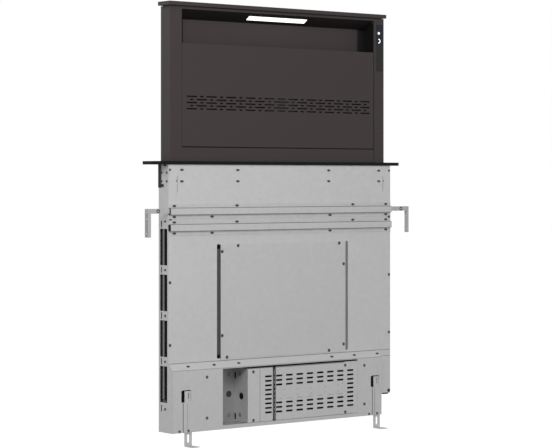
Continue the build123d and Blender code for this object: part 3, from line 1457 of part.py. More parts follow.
with BuildPart() as touch_board:
    with BuildSketch(tower_plane.offset(-TOWER_SHEET)) as board_outline:
        with Locations(touch_middle):
            Rectangle(TOUCH_WIDTH + 2 * TOUCH_BOARD_MARGIN, TOUCH_HEIGHT + 2 * TOUCH_BOARD_MARGIN)
    extrude(amount=-TOUCH_BOARD_THICKNESS)
touch_board.part.label = "touch_board"
export_step(touch_board.part, "parts/touch_board.step")

with BuildPart() as base_frame:
    block((-post_inner, post_inner), (ledge_front, back_panel_face), (tower_bottom, shoe_top))
    block(
        (BASE_FRAME_WALL - post_inner, post_inner - BASE_FRAME_WALL),
        (ledge_front + BASE_FRAME_WALL, back_panel_face - BASE_FRAME_WALL),
        (tower_bottom, shoe_top),
        Mode.SUBTRACT,
    )
base_frame.part.label = "base_frame"
export_step(base_frame.part, "parts/base_frame.step")

shoe_far = wall_inner - SHOE_WALL_GAP
rail_half = RAIL_WIDTH / 2 + SEAT_GAP
with BuildPart() as guide_shoes:
    for _, side in SIDES:
        block(
            span(side, tower_half, shoe_far),
            (drive_y - rail_half - SHOE_JAW, drive_y + rail_half + SHOE_JAW),
            (tower_bottom, shoe_top),
        )
        block(
            span(side, rail_near - SEAT_GAP, shoe_far),
            (drive_y - rail_half, drive_y + rail_half),
            (tower_bottom, shoe_top),
            Mode.SUBTRACT,
        )
guide_shoes.part.label = "guide_shoes"
export_step(guide_shoes.part, "parts/guide_shoes.step")

clamp_far = wall_inner - CLAMP_WALL_GAP
clamp_low_y = drive_y - belt_outer - SEAT_GAP - CLAMP_FRONT
clamp_high_y = drive_y - belt_inner + SEAT_GAP + CLAMP_BACK
with BuildPart() as belt_clamps:
    for _, side in SIDES:
        block(
            span(side, tower_half, clamp_far),
            (clamp_low_y, clamp_high_y),
            (tower_bottom, shoe_top),
        )
        block(
            span(side, belt_near - SEAT_GAP, belt_far + SEAT_GAP),
            (clamp_low_y + CLAMP_FRONT, clamp_high_y - CLAMP_BACK),
            (tower_bottom, shoe_top),
            Mode.SUBTRACT,
        )
belt_clamps.part.label = "belt_clamps"
export_step(belt_clamps.part, "parts/belt_clamps.step")
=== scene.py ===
import json
import math

import bmesh
import bpy
from mathutils import Matrix, Vector


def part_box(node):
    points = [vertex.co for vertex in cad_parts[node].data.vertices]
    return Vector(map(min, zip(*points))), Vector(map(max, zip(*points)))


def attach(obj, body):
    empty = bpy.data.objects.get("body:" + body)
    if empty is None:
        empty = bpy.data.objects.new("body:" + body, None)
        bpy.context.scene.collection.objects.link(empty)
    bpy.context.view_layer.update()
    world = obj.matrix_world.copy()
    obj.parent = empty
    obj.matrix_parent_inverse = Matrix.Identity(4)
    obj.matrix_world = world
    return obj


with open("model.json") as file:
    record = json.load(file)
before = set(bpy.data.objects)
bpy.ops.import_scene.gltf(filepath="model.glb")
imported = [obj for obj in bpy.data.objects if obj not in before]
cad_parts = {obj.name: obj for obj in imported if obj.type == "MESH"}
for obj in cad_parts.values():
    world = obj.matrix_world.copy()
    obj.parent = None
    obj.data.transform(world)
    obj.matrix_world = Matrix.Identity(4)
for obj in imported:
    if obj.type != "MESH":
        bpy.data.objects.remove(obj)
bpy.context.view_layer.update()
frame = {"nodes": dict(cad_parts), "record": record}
scene = bpy.context.scene
scene.view_settings.view_transform = "Standard"


# ---------------------------------------------------------------- shader nodes
VECTOR, COLOUR, NUMBER = "NodeSocketVector", "NodeSocketColor", "NodeSocketFloat"


def wire(tree, node, inputs):
    """Gives each of a node's inputs a value, or a link where the value is a socket."""
    for label, value in inputs.items():
        if isinstance(value, bpy.types.NodeSocket):
            tree.links.new(value, node.inputs[label])
        else:
            node.inputs[label].default_value = value


def add_node(tree, kind, inputs=None, **settings):
    """A node with its settings, and with its inputs wired."""
    node = tree.nodes.new(kind)
    for label, value in settings.items():
        setattr(node, label, value)
    wire(tree, node, inputs or {})
    return node


def maths(tree, operation, *values, use_clamp=False):
    """The result of a Math node on numbers or sockets."""
    settings = {"operation": operation, "use_clamp": use_clamp}
    return add_node(tree, "ShaderNodeMath", dict(enumerate(values)), **settings).outputs[0]


def mixed(tree, factor, first, second):
    """A colour between two colours."""
    inputs = {"Factor": factor, 6: first, 7: second}     # the colour sockets share their labels
    return add_node(tree, "ShaderNodeMix", inputs, data_type="RGBA").outputs[2]


def noise(tree, vector, **settings):
    """The outputs of a noise texture; its scale, detail and roughness are given by name."""
    inputs = {label.capitalize(): value for label, value in settings.items()}
    return add_node(tree, "ShaderNodeTexNoise", {"Vector": vector, **inputs}).outputs


def bump(tree, height, distance, strength):
    inputs = {"Height": height, "Distance": distance, "Strength": strength}
    return add_node(tree, "ShaderNodeBump", inputs).outputs[0]


def seen_ray(tree):
    """One for camera, glossy and transmission rays, so metal and glass show the background."""
    path = add_node(tree, "ShaderNodeLightPath").outputs
    either = maths(tree, "MAXIMUM", path["Is Camera Ray"], path["Is Transmission Ray"])
    return maths(tree, "MAXIMUM", either, path["Is Glossy Ray"])


# ---------------------------------------------------------------- camera, floor and light
CAMERA_PLACE = (-3.7846, -4.7224, -0.0446)
CAMERA_DIRECTION = (0.6252, 0.7805, 0.0)
LENS, SENSOR_WIDTH = 134.9, 36.0                 # millimetres
HORIZON_SHIFT = -0.079                           # share of the picture's width
VIEW_END = 60.0
FLOOR_HEIGHT = -0.8495                           # clear of the feet at their lowest
FLOOR_REACH = 20.0
FLOOR_SHADE = 0.16                               # lit part, which the object's shadow takes away
FLOOR_GLOW = 0.96                                # seen directly, it runs into the background
AMBIENT, BACKGROUND = 0.42, 1.0
WHITE = (1.0, 1.0, 1.0, 1.0)
LAMPS = (                                        # name, place, target, size, watts
    ("key_lamp", (-1.7, -1.95, 1.35), (0.0, 0.0, 0.0), (1.5, 1.2), 49.0),
    ("fill_lamp", (2.4, -3.8, 0.6), (0.1, 0.0, -0.2), (2.0, 2.0), 9.5),
    ("back_lamp", (-1.2, 3.2, 2.0), (0.0, 0.0, 0.0), (2.0, 1.2), 40.0),
)


def place_camera():
    """Low camera in front and to the left, level, with the horizon above the picture's middle."""
    data = bpy.data.cameras.new("camera")
    data.sensor_width = SENSOR_WIDTH
    data.lens = LENS
    data.shift_y = HORIZON_SHIFT
    data.clip_end = VIEW_END
    camera = bpy.data.objects.new("camera", data)
    camera.location = CAMERA_PLACE
    camera.rotation_euler = Vector(CAMERA_DIRECTION).to_track_quat("-Z", "Y").to_euler()
    scene.collection.objects.link(camera)
    scene.camera = camera


def place_lamp(name, place, target, size, watts):
    data = bpy.data.lights.new(name, "AREA")
    data.shape = "RECTANGLE"
    data.size, data.size_y = size
    data.energy = watts
    lamp = bpy.data.objects.new(name, data)
    lamp.location = place
    lamp.rotation_euler = (Vector(target) - Vector(place)).to_track_quat("-Z", "Y").to_euler()
    scene.collection.objects.link(lamp)


def light_world():
    """A white studio: pure white behind the object and in its gloss, softer as ambient light."""
    world = bpy.data.worlds.new("studio")
    scene.world = world
    world.use_nodes = True
    tree = world.node_tree
    tree.nodes.clear()
    ambient = add_node(tree, "ShaderNodeBackground", {"Color": WHITE, "Strength": AMBIENT})
    white = add_node(tree, "ShaderNodeBackground", {"Color": WHITE, "Strength": BACKGROUND})
    mix = add_node(tree, "ShaderNodeMixShader", {
        "Fac": seen_ray(tree), 1: ambient.outputs[0], 2: white.outputs[0],
    })
    add_node(tree, "ShaderNodeOutputWorld", {"Surface": mix.outputs[0]})


def lay_floor():
    """White floor that keeps a soft shadow and runs into the white background."""
    mesh = bpy.data.meshes.new("floor")
    bm = bmesh.new()
    bmesh.ops.create_grid(bm, x_segments=1, y_segments=1, size=FLOOR_REACH)
    bmesh.ops.translate(bm, vec=(0, 0, FLOOR_HEIGHT), verts=bm.verts)
    bm.to_mesh(mesh)
    bm.free()
    floor = bpy.data.objects.new("floor", mesh)
    scene.collection.objects.link(floor)
    mat = bpy.data.materials.new("floor_white")
    mat.use_nodes = True
    tree = mat.node_tree
    tree.nodes.clear()
    shade = (FLOOR_SHADE, FLOOR_SHADE, FLOOR_SHADE, 1.0)
    matte = add_node(tree, "ShaderNodeBsdfDiffuse", {"Color": shade})
    share = maths(tree, "MULTIPLY", seen_ray(tree), FLOOR_GLOW)
    glow = add_node(tree, "ShaderNodeEmission", {"Strength": share})
    total = add_node(tree, "ShaderNodeAddShader", {0: matte.outputs[0], 1: glow.outputs[0]})
    add_node(tree, "ShaderNodeOutputMaterial", {"Surface": total.outputs[0]})
    mesh.materials.append(mat)


place_camera()
for lamp_values in LAMPS:
    place_lamp(*lamp_values)
light_world()
lay_floor()


# ---------------------------------------------------------------- shared shader groups
SURFACE_OUTPUTS = (("Color", COLOUR), ("Roughness", NUMBER), ("Normal", VECTOR))
GRAIN_SHARE, CLOUD_SHARE = 0.42, 0.58            # of the zinc's light and dark
GRAIN_WARP = (0.012, 0.012, 0.012)               # metres that noise pushes the crystals' borders
GRAIN_GLOSS = 0.14                               # roughness that differs from crystal to crystal
MESH_ANGLES = (35.0, -35.0)
MESH_RELIEF = 0.0008
BAND_SHARPNESS = 8000.0                          # a band's edge fades over 1/8 of a millimetre


def new_group(name, inputs, outputs):
    """A node group with its sockets, and its input and output nodes."""
    group = bpy.data.node_groups.new(name, "ShaderNodeTree")
    for label, kind, value in inputs:
        socket = group.interface.new_socket(name=label, in_out="INPUT", socket_type=kind)
        if value is not None:
            socket.default_value = value
    for label, kind in outputs:
        group.interface.new_socket(name=label, in_out="OUTPUT", socket_type=kind)
    return group, group.nodes.new("NodeGroupInput").outputs, group.nodes.new("NodeGroupOutput")


def spangle_group():
    """Zinc crystals: each grain a little lighter or darker, with clouding over whole sheets."""
    group, source, out = new_group(
        "zinc_spangle",
        (
            ("Vector", VECTOR, None),
            ("Light", COLOUR, (0.6, 0.6, 0.6, 1)),
            ("Dark", COLOUR, (0.5, 0.5, 0.5, 1)),
            ("Grain scale", NUMBER, 110.0),
            ("Roughness", NUMBER, 0.45),
            ("Relief", NUMBER, 0.00002),
        ),
        SURFACE_OUTPUTS,
    )
    spot = source["Vector"]
    warp = noise(group, spot, scale=38.0, detail=3.0)["Color"]
    bend = add_node(group, "ShaderNodeVectorMath", {
        0: warp, 1: GRAIN_WARP, 2: spot,
    }, operation="MULTIPLY_ADD")
    grain = add_node(group, "ShaderNodeTexVoronoi", {
        "Vector": bend.outputs[0], "Scale": source["Grain scale"],
    }, feature="F1").outputs
    tone = add_node(group, "ShaderNodeSeparateColor", {0: grain["Color"]}).outputs
    cloud = noise(group, spot, scale=4.5, detail=5.0, roughness=0.6)["Fac"]
    share = maths(group, "MULTIPLY", tone[0], GRAIN_SHARE)
    blend = maths(group, "MULTIPLY_ADD", cloud, CLOUD_SHARE, share)
    wire(group, out, {
        "Color": mixed(group, blend, source["Dark"], source["Light"]),
        "Roughness": maths(group, "MULTIPLY_ADD", tone[1], GRAIN_GLOSS, source["Roughness"]),
        "Normal": bump(group, grain["Distance"], source["Relief"], strength=0.35),
    })
    return group


def texture_group():
    """Fine grain of a coat or a moulding, with faint smudges that change the gloss."""
    group, source, out = new_group(
        "fine_texture",
        (
            ("Vector", VECTOR, None),
            ("Light", COLOUR, (0.1, 0.1, 0.1, 1)),
            ("Dark", COLOUR, (0.08, 0.08, 0.08, 1)),
            ("Grain scale", NUMBER, 1400.0),
            ("Roughness", NUMBER, 0.5),
            ("Spread", NUMBER, 0.12),
            ("Relief", NUMBER, 0.00006),
        ),
        SURFACE_OUTPUTS,
    )
    spot = source["Vector"]
    grain = noise(group, spot, scale=source["Grain scale"], detail=2.0)["Fac"]
    smudge = noise(group, spot, scale=9.0, detail=6.0, roughness=0.62)["Fac"]
    wire(group, out, {
        "Color": mixed(group, smudge, source["Dark"], source["Light"]),
        "Roughness": maths(group, "MULTIPLY_ADD", smudge, source["Spread"], source["Roughness"]),
        "Normal": bump(group, grain, source["Relief"], strength=0.5),
    })
    return group


def mesh_group():
    """Knitted metal mesh: crossing waves as a mask and a relief."""
    group, source, out = new_group(
        "crossed_mesh",
        (("Vector", VECTOR, None), ("Pitch scale", NUMBER, 70.0)),
        (("Mask", NUMBER), ("Normal", VECTOR)),
    )
    waves = []
    for angle in MESH_ANGLES:
        turn = add_node(group, "ShaderNodeMapping", {
            "Vector": source["Vector"], "Rotation": (0.0, math.radians(angle), 0.0),
        })
        wave = add_node(group, "ShaderNodeTexWave", {
            "Vector": turn.outputs[0], "Scale": source["Pitch scale"],
            "Distortion": 0.6, "Detail": 1.0,
        }, bands_direction="X")
        waves.append(wave.outputs["Fac"])
    top = maths(group, "MAXIMUM", *waves)
    wire(group, out, {"Mask": top, "Normal": bump(group, top, MESH_RELIEF, strength=0.9)})
    return group


def band_group():
    """One inside a band of a coordinate, nothing outside it, with a soft edge."""
    group, source, out = new_group(
        "band_mask",
        (
            ("Coordinate", NUMBER, 0.0),
            ("Centre", NUMBER, 0.0),
            ("Half width", NUMBER, 0.001),
        ),
        (("Mask", NUMBER),),
    )
    offset = maths(group, "SUBTRACT", source["Coordinate"], source["Centre"])
    inside = maths(group, "SUBTRACT", source["Half width"], maths(group, "ABSOLUTE", offset))
    wire(group, out, {"Mask": maths(group, "MULTIPLY", inside, BAND_SHARPNESS, use_clamp=True)})
    return group


band_mask = band_group()
spangle = spangle_group()
fine_texture = texture_group()
crossed_mesh = mesh_group()


# ---------------------------------------------------------------- materials
ZINC_LIGHT, ZINC_DARK = (0.560, 0.562, 0.560), (0.515, 0.517, 0.517)
PAINT_LIGHT, PAINT_DARK = (0.045, 0.035, 0.034), (0.038, 0.029, 0.028)
# painted shade: dark lines along folds, seams, creases and the edges of ribs
PAINTED_FOLD_SHADE = (0.17, 0.175, 0.18)
# lighter painted shade: at the step strip's foot and the box's top, on the arm's fold, at the
# terminal cover's edge
PAINTED_SOFT_SHADE = (0.33, 0.332, 0.332)
# painted shade: near black on the edges of the tower's front panels and right post, for the gaps
# between them
PAINTED_JOINT_SHADE = (0.005, 0.004, 0.004)
# painted shade: near black inside the tower, channels, walls, covers, rear pan, rail and box,
# behind the channels and at a slot's ends
PAINTED_INSIDE_SHADE = (0.006, 0.006, 0.006)
TOP_SHADE = (0.20, 0.202, 0.202)
# painted shade on the front panel along the long slot left of the blower cover
PAINTED_SLOT_SHADE = (0.075, 0.076, 0.076)
GUIDE_SHADE = (0.030, 0.030, 0.030)
# painted reflection: a bluish sheen on the upper part of the touch glass
PAINTED_GLASS_SHEEN = (0.008, 0.014, 0.026)
MIDDLE_SPECULAR = 0.5


def start_material(name, metallic):
    mat = bpy.data.materials.new(name)
    mat.use_nodes = True
    tree = mat.node_tree
    tree.nodes.clear()
    shader = add_node(tree, "ShaderNodeBsdfPrincipled", {"Metallic": metallic})
    add_node(tree, "ShaderNodeOutputMaterial", {"Surface": shader.outputs[0]})
    return mat, tree, shader, add_node(tree, "ShaderNodeTexCoord").outputs["Object"]


def join(tree, operation, masks):
    """Folds several masks into one by a Math operation."""
    total = masks[0]
    for mask in masks[1:]:
        total = maths(tree, operation, total, mask)
    return total


def shade_regions(tree, shader, place, colour, regions):
    """Another colour in regions of the piece, each with (axis, from, to) limits that all hold."""
    split = add_node(tree, "ShaderNodeSeparateXYZ", {0: place}).outputs
    masks = []
    for limits in regions:
        sides = []
        for axis, low, high in limits:
            band = add_node(tree, "ShaderNodeGroup", {
                "Coordinate": split[axis],
                "Centre": (low + high) / 2, "Half width": (high - low) / 2,
            }, node_tree=band_mask)
            sides.append(band.outputs["Mask"])
        masks.append(join(tree, "MULTIPLY", sides))
    before = shader.inputs["Base Color"].links[0].from_socket
    after = mixed(tree, join(tree, "MAXIMUM", masks), before, (*colour, 1))
    wire(tree, shader, {"Base Color": after})


def surface(name, group, metallic, specular, regions, values):
    """A material of a shared group with its own values, and with regions of other colours."""
    mat, tree, shader, place = start_material(name, metallic)
    inputs = {"Vector": place, **values}
    effect = add_node(tree, "ShaderNodeGroup", inputs, node_tree=group).outputs
    wire(tree, shader, {
        "Specular IOR Level": specular, "Base Color": effect["Color"],
        "Roughness": effect["Roughness"], "Normal": effect["Normal"],
    })
    for colour, places in regions:
        shade_regions(tree, shader, place, colour, places)
    return mat


def zinc_sheet(name, light=ZINC_LIGHT, dark=ZINC_DARK, roughness=0.42, grain=95.0, metallic=0.3,
               regions=()):
    """Sheet or drawn metal with zinc crystals."""
    return surface(name, spangle, metallic, MIDDLE_SPECULAR, regions, {
        "Light": (*light, 1), "Dark": (*dark, 1), "Roughness": roughness, "Grain scale": grain,
    })


def coated(name, light, dark, roughness=0.5, grain=1400.0, metallic=0.0, relief=0.00006,
           spread=0.12, specular=MIDDLE_SPECULAR, regions=()):
    """A coat, a moulding or a cast surface with a fine grain."""
    return surface(name, fine_texture, metallic, specular, regions, {
        "Light": (*light, 1), "Dark": (*dark, 1), "Roughness": roughness,
        "Grain scale": grain, "Relief": relief, "Spread": spread,
    })


def painted(name, *regions):
    return coated(name, PAINT_LIGHT, PAINT_DARK, 0.46, grain=1500.0, specular=0.25,
                  regions=regions)


def glowing(name, first, second, drift_scale, strength, roughness):
    """A surface that gives light, its colour drifting between two."""
    mat, tree, shader, place = start_material(name, metallic=0.0)
    drift = noise(tree, place, scale=drift_scale)["Fac"]
    colour = mixed(tree, drift, (*first, 1), (*second, 1))
    wire(tree, shader, {
        "Base Color": colour, "Emission Color": colour, "Emission Strength": strength,
        "Roughness": roughness,
    })
    return mat


def filter_mesh_metal():
    """Grease mesh in the shade of the duct: near black, a little lighter along its strands."""
    mat, tree, shader, place = start_material("filter_mesh_metal", metallic=0.0)
    knit = add_node(tree, "ShaderNodeGroup", {"Vector": place}, node_tree=crossed_mesh).outputs
    shade, strand = (0.003, 0.003, 0.003, 1), (0.016, 0.016, 0.016, 1)
    wire(tree, shader, {
        "Base Color": mixed(tree, knit["Mask"], shade, strand), "Normal": knit["Normal"],
        "Roughness": 0.5, "Specular IOR Level": 0.1,
    })
    return mat


def ribbed_belt():
    """Black belt with its cross ribs drawn as fine bands along the run."""
    mat, tree, shader, place = start_material("ribbed_belt", metallic=0.0)
    rib = add_node(tree, "ShaderNodeTexWave", {
        "Vector": place, "Scale": 104.0,
    }, bands_direction="Z").outputs["Fac"]
    groove, crest = (0.010, 0.010, 0.010, 1), (0.030, 0.030, 0.030, 1)
    wire(tree, shader, {
        "Base Color": mixed(tree, rib, groove, crest), "Roughness": 0.7,
        "Normal": bump(tree, rib, distance=0.0006, strength=0.8),
    })
    return mat


# ---------------------------------------------------------------- regions of painted shade and sheen
LINE_HALF = 0.0009                               # half width of a fold line
CHANNEL_FLANGE = 0.012
FRONT_SHEET = (-0.0360, -0.0340)                 # from front to back through the front panel
COVER_SLOT = (-0.2355, -0.2315)                  # the long slot left of the blower cover
INNER_DEPTH = (-0.06, 0.0113)                    # through the side walls, short of the rear pan


def region(x=None, y=None, z=None):
    """Limits of a region, for the axes that bound it."""
    return tuple((axis, *span) for axis, span in enumerate((x, y, z)) if span)


def line(middle, half=LINE_HALF):
    return middle - half, middle + half


def channel_sheet(node):
    """A hat-section channel: painted shade lines along its folds, and painted shade inside and at
    its left end.
    """
    low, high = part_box(node)
    inset, end_inset = 0.0131, 0.0128            # from the flanges' edges to the dark inside
    folds = [region(z=line(z)) for z in (low.z + CHANNEL_FLANGE, high.z - CHANNEL_FLANGE)]
    inside = region(y=(-0.0413, -0.0345), z=(low.z + inset, high.z - inset))
    left_end = region(x=(low.x - 0.001, low.x + 0.0032), z=(low.z + end_inset, high.z - end_inset))
    return zinc_sheet("galvanised_" + node, regions=(
        (PAINTED_FOLD_SHADE, folds), (PAINTED_INSIDE_SHADE, [inside, left_end])))


step_low, step_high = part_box("step_strip")
wing_seams = [region(x=(0.362, 0.416), z=line(z, half=0.0008))
              for z in (step_low.z, step_high.z)]
wall_creases = [region(x=line(x), z=(-0.078, -0.032)) for x in (-0.384, 0.384)]
panel_foot = [region(z=(-0.5575, -0.5562))]
behind_channels = [region(y=(-0.0357, -0.0340), z=(z, z + 0.0166)) for z in (-0.1398, -0.1858)]
slot_middle = [region(x=COVER_SLOT, y=FRONT_SHEET, z=(-0.5400, -0.2390))]
slot_ends = [region(x=COVER_SLOT, y=FRONT_SHEET, z=(z, z + 0.012)) for z in (-0.552, -0.239)]
box_ribs = [
    region(x=line(x), z=(-0.7495, -0.667)) for x in (-0.3772, -0.3622, 0.3254, 0.3340)
]
tower_inside = [region(x=(-0.3597, 0.3597), y=(-0.0212, 0.0216), z=(-0.2, 0.43))]
post_joint = [region(x=(0.3585, 0.3612), z=(-0.12, 0.342))]
panel_edges = [region(z=(0.0495, 0.0521)), region(x=(0.3570, 0.3590)), region(y=(-0.0222, 0.0))]
lower_panel_edges = [region(z=(0.0477, 0.0495)), region(x=(0.3573, 0.3600))]
glass_top = [region(z=(0.366, 0.45))]
rail_front = [region(y=(-0.0175, -0.0130))]
arm_fold = [region(x=(-0.4870, -0.4856), y=(-0.0375, -0.0265), z=(-0.2040, -0.1360))]
pan_inside = [region(x=(-0.4118, 0.4118), y=(0.0110, 0.0262))]
left_guide_shadow = [region(x=(-0.4145, -0.4135), y=(-0.0020, 0.0122), z=(-0.0655, 0.0012))]
left_wall_inside = [region(x=(-0.4131, 0.0), y=INNER_DEPTH)]
right_wall_inside = [region(x=(0.0, 0.4131), y=INNER_DEPTH)]
control_cover_top = [region(x=(-0.0450, 0.2150), z=(-0.5860, -0.5820))]
control_cover_inside = [region(x=(-0.0365, 0.27), y=(-0.0538, 0.0))]
terminal_cover_edge = [region(x=(-0.1054, -0.1026))]
terminal_cover_top = [region(z=(-0.5850, -0.5820))]
terminal_cover_inside = [region(y=(-0.0538, 0.0))]
electronics_inside = [region(x=(-0.1484, 0.30), y=(-0.0532, 0.0070))]


# ---------------------------------------------------------------- finishes of the CAD nodes
finishes = {
    "galvanised": zinc_sheet("galvanised_sheet"),
    "tower_paint": painted("dark_powder_coat"),
    "flange_black": coated("black_satin_coat", (0.0080, 0.0076, 0.0076), (0.0060, 0.0056, 0.0056),
                           0.42, grain=1800.0, relief=0.00003, specular=0.08),
    "seal_rubber": coated("seal_rubber", (0.012, 0.012, 0.012), (0.008, 0.008, 0.008),
                          0.72, grain=900.0, specular=0.2),
    "belt_rubber": ribbed_belt(),
    "guide_plastic": coated("moulded_black_plastic", (0.016, 0.016, 0.017), (0.010, 0.010, 0.011),
                            grain=1100.0, relief=0.00004, specular=0.2),
    "drive_nylon": coated("natural_nylon", (0.70, 0.68, 0.62), (0.62, 0.60, 0.54),
                          grain=700.0, relief=0.00003),
    # Painted shade on the rail's front side, which faces the front panel inside the chassis.
    "rail_steel": zinc_sheet("drawn_rail_steel", (0.20, 0.20, 0.205), (0.15, 0.15, 0.155),
                             grain=300.0, metallic=0.4, regions=((PAINTED_INSIDE_SHADE, rail_front),)),
    "pulley_aluminium": zinc_sheet("dark_anodised_aluminium", (0.060, 0.060, 0.062),
                                   (0.045, 0.045, 0.047), 0.35, grain=600.0, metallic=0.5),
    "gearbox_metal": coated("cast_gearbox_metal", (0.42, 0.42, 0.43), (0.33, 0.33, 0.34),
                            0.42, grain=500.0, metallic=0.8, relief=0.00012),
    "motor_metal": coated("motor_enamel", (0.10, 0.10, 0.11), (0.06, 0.06, 0.07),
                          0.35, grain=900.0, metallic=0.2),
    # Painted shade: screw heads drawn near black, for the shade on such small heads; this finish
    # also darkens the added slots, rings and notches.
    "zinc_screw": zinc_sheet("zinc_screw_painted_shade", (0.085, 0.085, 0.087), (0.060, 0.060, 0.062),
                             0.4, grain=900.0, metallic=0.5),
    "filter_aluminium": filter_mesh_metal(),
    "light_diffuser": glowing("lit_diffuser", (1.0, 0.97, 0.92), (1.0, 1.0, 0.98),
                              drift_scale=30.0, strength=1.6, roughness=0.35),
    # Painted reflection: a bluish sheen over the glass's upper part.
    "touch_glass": coated("black_touch_glass", (0.022, 0.022, 0.022), (0.018, 0.018, 0.018),
                          0.16, grain=60.0, relief=0.0, spread=0.05, specular=0.15,
                          regions=((PAINTED_GLASS_SHEEN, glass_top),)),
    # Painted shade: the board's green is darkened for the shade behind the cover's slots.
    "circuit_board": coated("circuit_board_green_painted_shade", (0.010, 0.045, 0.020), (0.007, 0.032, 0.014),
                            0.45, grain=300.0, relief=0.0001, specular=0.2),
    "transformer_core": coated("varnished_core", (0.05, 0.045, 0.042), (0.03, 0.027, 0.025),
                               0.4, grain=400.0, metallic=0.2),
}
# Painted shade: the tower's paint turns near black inside the tower, where little light reaches.
inside_shaded_paint = painted("dark_powder_coat_painted_inside_shade", (PAINTED_INSIDE_SHADE, tower_inside))
# Painted shade: the filter retainer and the base frame are drawn near black, for the shade they
# sit in.
retainer_and_frame_shade = coated("inner_parts_painted_shade", (0.022, 0.021, 0.021), (0.017, 0.016, 0.016),
                    0.6, specular=0.1)
# Painted shade on the fold of each arm's leg.
arm_zinc = zinc_sheet("galvanised_arm", (0.47, 0.472, 0.472), (0.42, 0.422, 0.422),
                      regions=((PAINTED_SOFT_SHADE, arm_fold),))
faint_zinc = zinc_sheet("galvanised_mark", (0.27, 0.272, 0.275), (0.22, 0.222, 0.225),
                        0.45, grain=300.0)
node_finishes = {
    "tower_back_panel": inside_shaded_paint,
    "left_post": inside_shaded_paint,
    # Painted shade inside the tower, and near black along the post's edge at the gap.
    "right_post": painted("dark_powder_coat_right_post", (PAINTED_INSIDE_SHADE, tower_inside),
                          (PAINTED_JOINT_SHADE, post_joint)),
    # Painted shade on the edges of the front and lower panels, for the gaps round them.
    "front_panel": painted("dark_powder_coat_front_panel", (PAINTED_JOINT_SHADE, panel_edges)),
    "lower_front_panel": painted("dark_powder_coat_lower_panel", (PAINTED_JOINT_SHADE, lower_panel_edges)),
    # Painted shade: the housing is darker than the tower's paint, for the shade under the cap.
    "light_housing": coated("powder_coat_housing_painted_shade", (0.014, 0.011, 0.011),
                            (0.010, 0.008, 0.008), specular=0.1),
    "filter_retainer": retainer_and_frame_shade,
    "base_frame": retainer_and_frame_shade,
    "left_arm": arm_zinc,
    "right_arm": arm_zinc,
    # Painted shade: darker zinc for the tray of the recessed bay.
    "recess_tray": zinc_sheet("galvanised_recess_tray_painted_shade", (0.38, 0.382, 0.382),
                              (0.32, 0.322, 0.322), 0.5),
    # Painted shade: darker zinc for the plenum floor inside the chassis.
    "plenum_floor": zinc_sheet("galvanised_sheet_painted_shade", (0.40, 0.402, 0.402),
                               (0.34, 0.342, 0.342), 0.5),
    "upper_channel": channel_sheet("upper_channel"),
    "lower_channel": channel_sheet("lower_channel"),
    # Painted light: a lighter zinc than the sheets below, as more light falls on it; painted shade
    # along its seams, creases and foot, behind the channels and along the long slot.
    "chassis_front_panel": zinc_sheet(
        "galvanised_front_panel_painted_light", (0.585, 0.587, 0.585), (0.54, 0.542, 0.542), regions=(
            (PAINTED_FOLD_SHADE, wing_seams + wall_creases + panel_foot), (PAINTED_INSIDE_SHADE, behind_channels),
            (PAINTED_SLOT_SHADE, slot_middle), (PAINTED_INSIDE_SHADE, slot_ends))),
    # Painted shade along the edges of the box's ribs, and a softer line at its top under the step
    # strip.
    "lower_box_front": zinc_sheet("galvanised_box_front", regions=(
        (PAINTED_FOLD_SHADE, box_ribs), (PAINTED_SOFT_SHADE, [region(z=(-0.5772, -0.5755))]))),
    # Painted shade lines along the step strip's top and foot.
    "step_strip": zinc_sheet("galvanised_step", regions=(
        (PAINTED_FOLD_SHADE, [region(z=(-0.5580, -0.5568))]), (PAINTED_SOFT_SHADE, [region(z=(-0.5765, -0.5752))]))),
    # Painted shade inside the rear pan.
    "rear_pan": zinc_sheet("galvanised_rear_pan", regions=((PAINTED_INSIDE_SHADE, pan_inside),)),
    # Painted shade inside both side walls, and a painted shadow on the left wall's outer face by
    # its guide.
    "left_side_wall": zinc_sheet("galvanised_left_wall", regions=(
        (GUIDE_SHADE, left_guide_shadow), (PAINTED_INSIDE_SHADE, left_wall_inside))),
    "right_side_wall": zinc_sheet("galvanised_right_wall", regions=(
        (PAINTED_INSIDE_SHADE, right_wall_inside),)),
    # Painted shade inside both covers and a painted shadow along their tops; a softer painted
    # shade at the terminal cover's edge.
    "control_cover": zinc_sheet("galvanised_control_cover", regions=(
        (TOP_SHADE, control_cover_top), (PAINTED_INSIDE_SHADE, control_cover_inside))),
    "terminal_cover": zinc_sheet("galvanised_terminal_cover", regions=(
        (PAINTED_SOFT_SHADE, terminal_cover_edge), (TOP_SHADE, terminal_cover_top),
        (PAINTED_INSIDE_SHADE, terminal_cover_inside))),
    # Painted shade inside the box, where little light comes through the slots.
    "electronics_box": zinc_sheet("galvanised_box_painted_inside_shade", regions=(
        (PAINTED_INSIDE_SHADE, electronics_inside),)),
}
for entry in frame["record"]["subparts"]:
    node = frame["nodes"][entry["node"]]
    finish = node_finishes.get(entry["node"], finishes[entry["material_slot"]])
    if not node.data.materials:
        node.data.materials.append(finish)
    for slot in node.material_slots:
        slot.material = finish


# ---------------------------------------------------------------- tools for added pieces
FACE_FRONT = Matrix.Rotation(math.radians(90), 4, "X")    # +Z of a flat shape turned to the front
FACE_LEFT = Matrix.Rotation(math.radians(-90), 4, "Y")    # +Z of a flat shape turned to the left
SAME_POINT = 1e-6


def finish_piece(name, bm, material, body):
    """Makes a piece of a bmesh, riding on a body and standing in a material slot."""
    bmesh.ops.recalc_face_normals(bm, faces=bm.faces)
    mesh = bpy.data.meshes.new(name)
    bm.to_mesh(mesh)
    bm.free()
    piece = bpy.data.objects.new(name, mesh)
    scene.collection.objects.link(piece)
    mesh.materials.append(material)
    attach(piece, body)


def place_shape(bm, verts, turn, centre):
    bmesh.ops.transform(bm, matrix=Matrix.Translation(centre) @ turn, verts=verts)


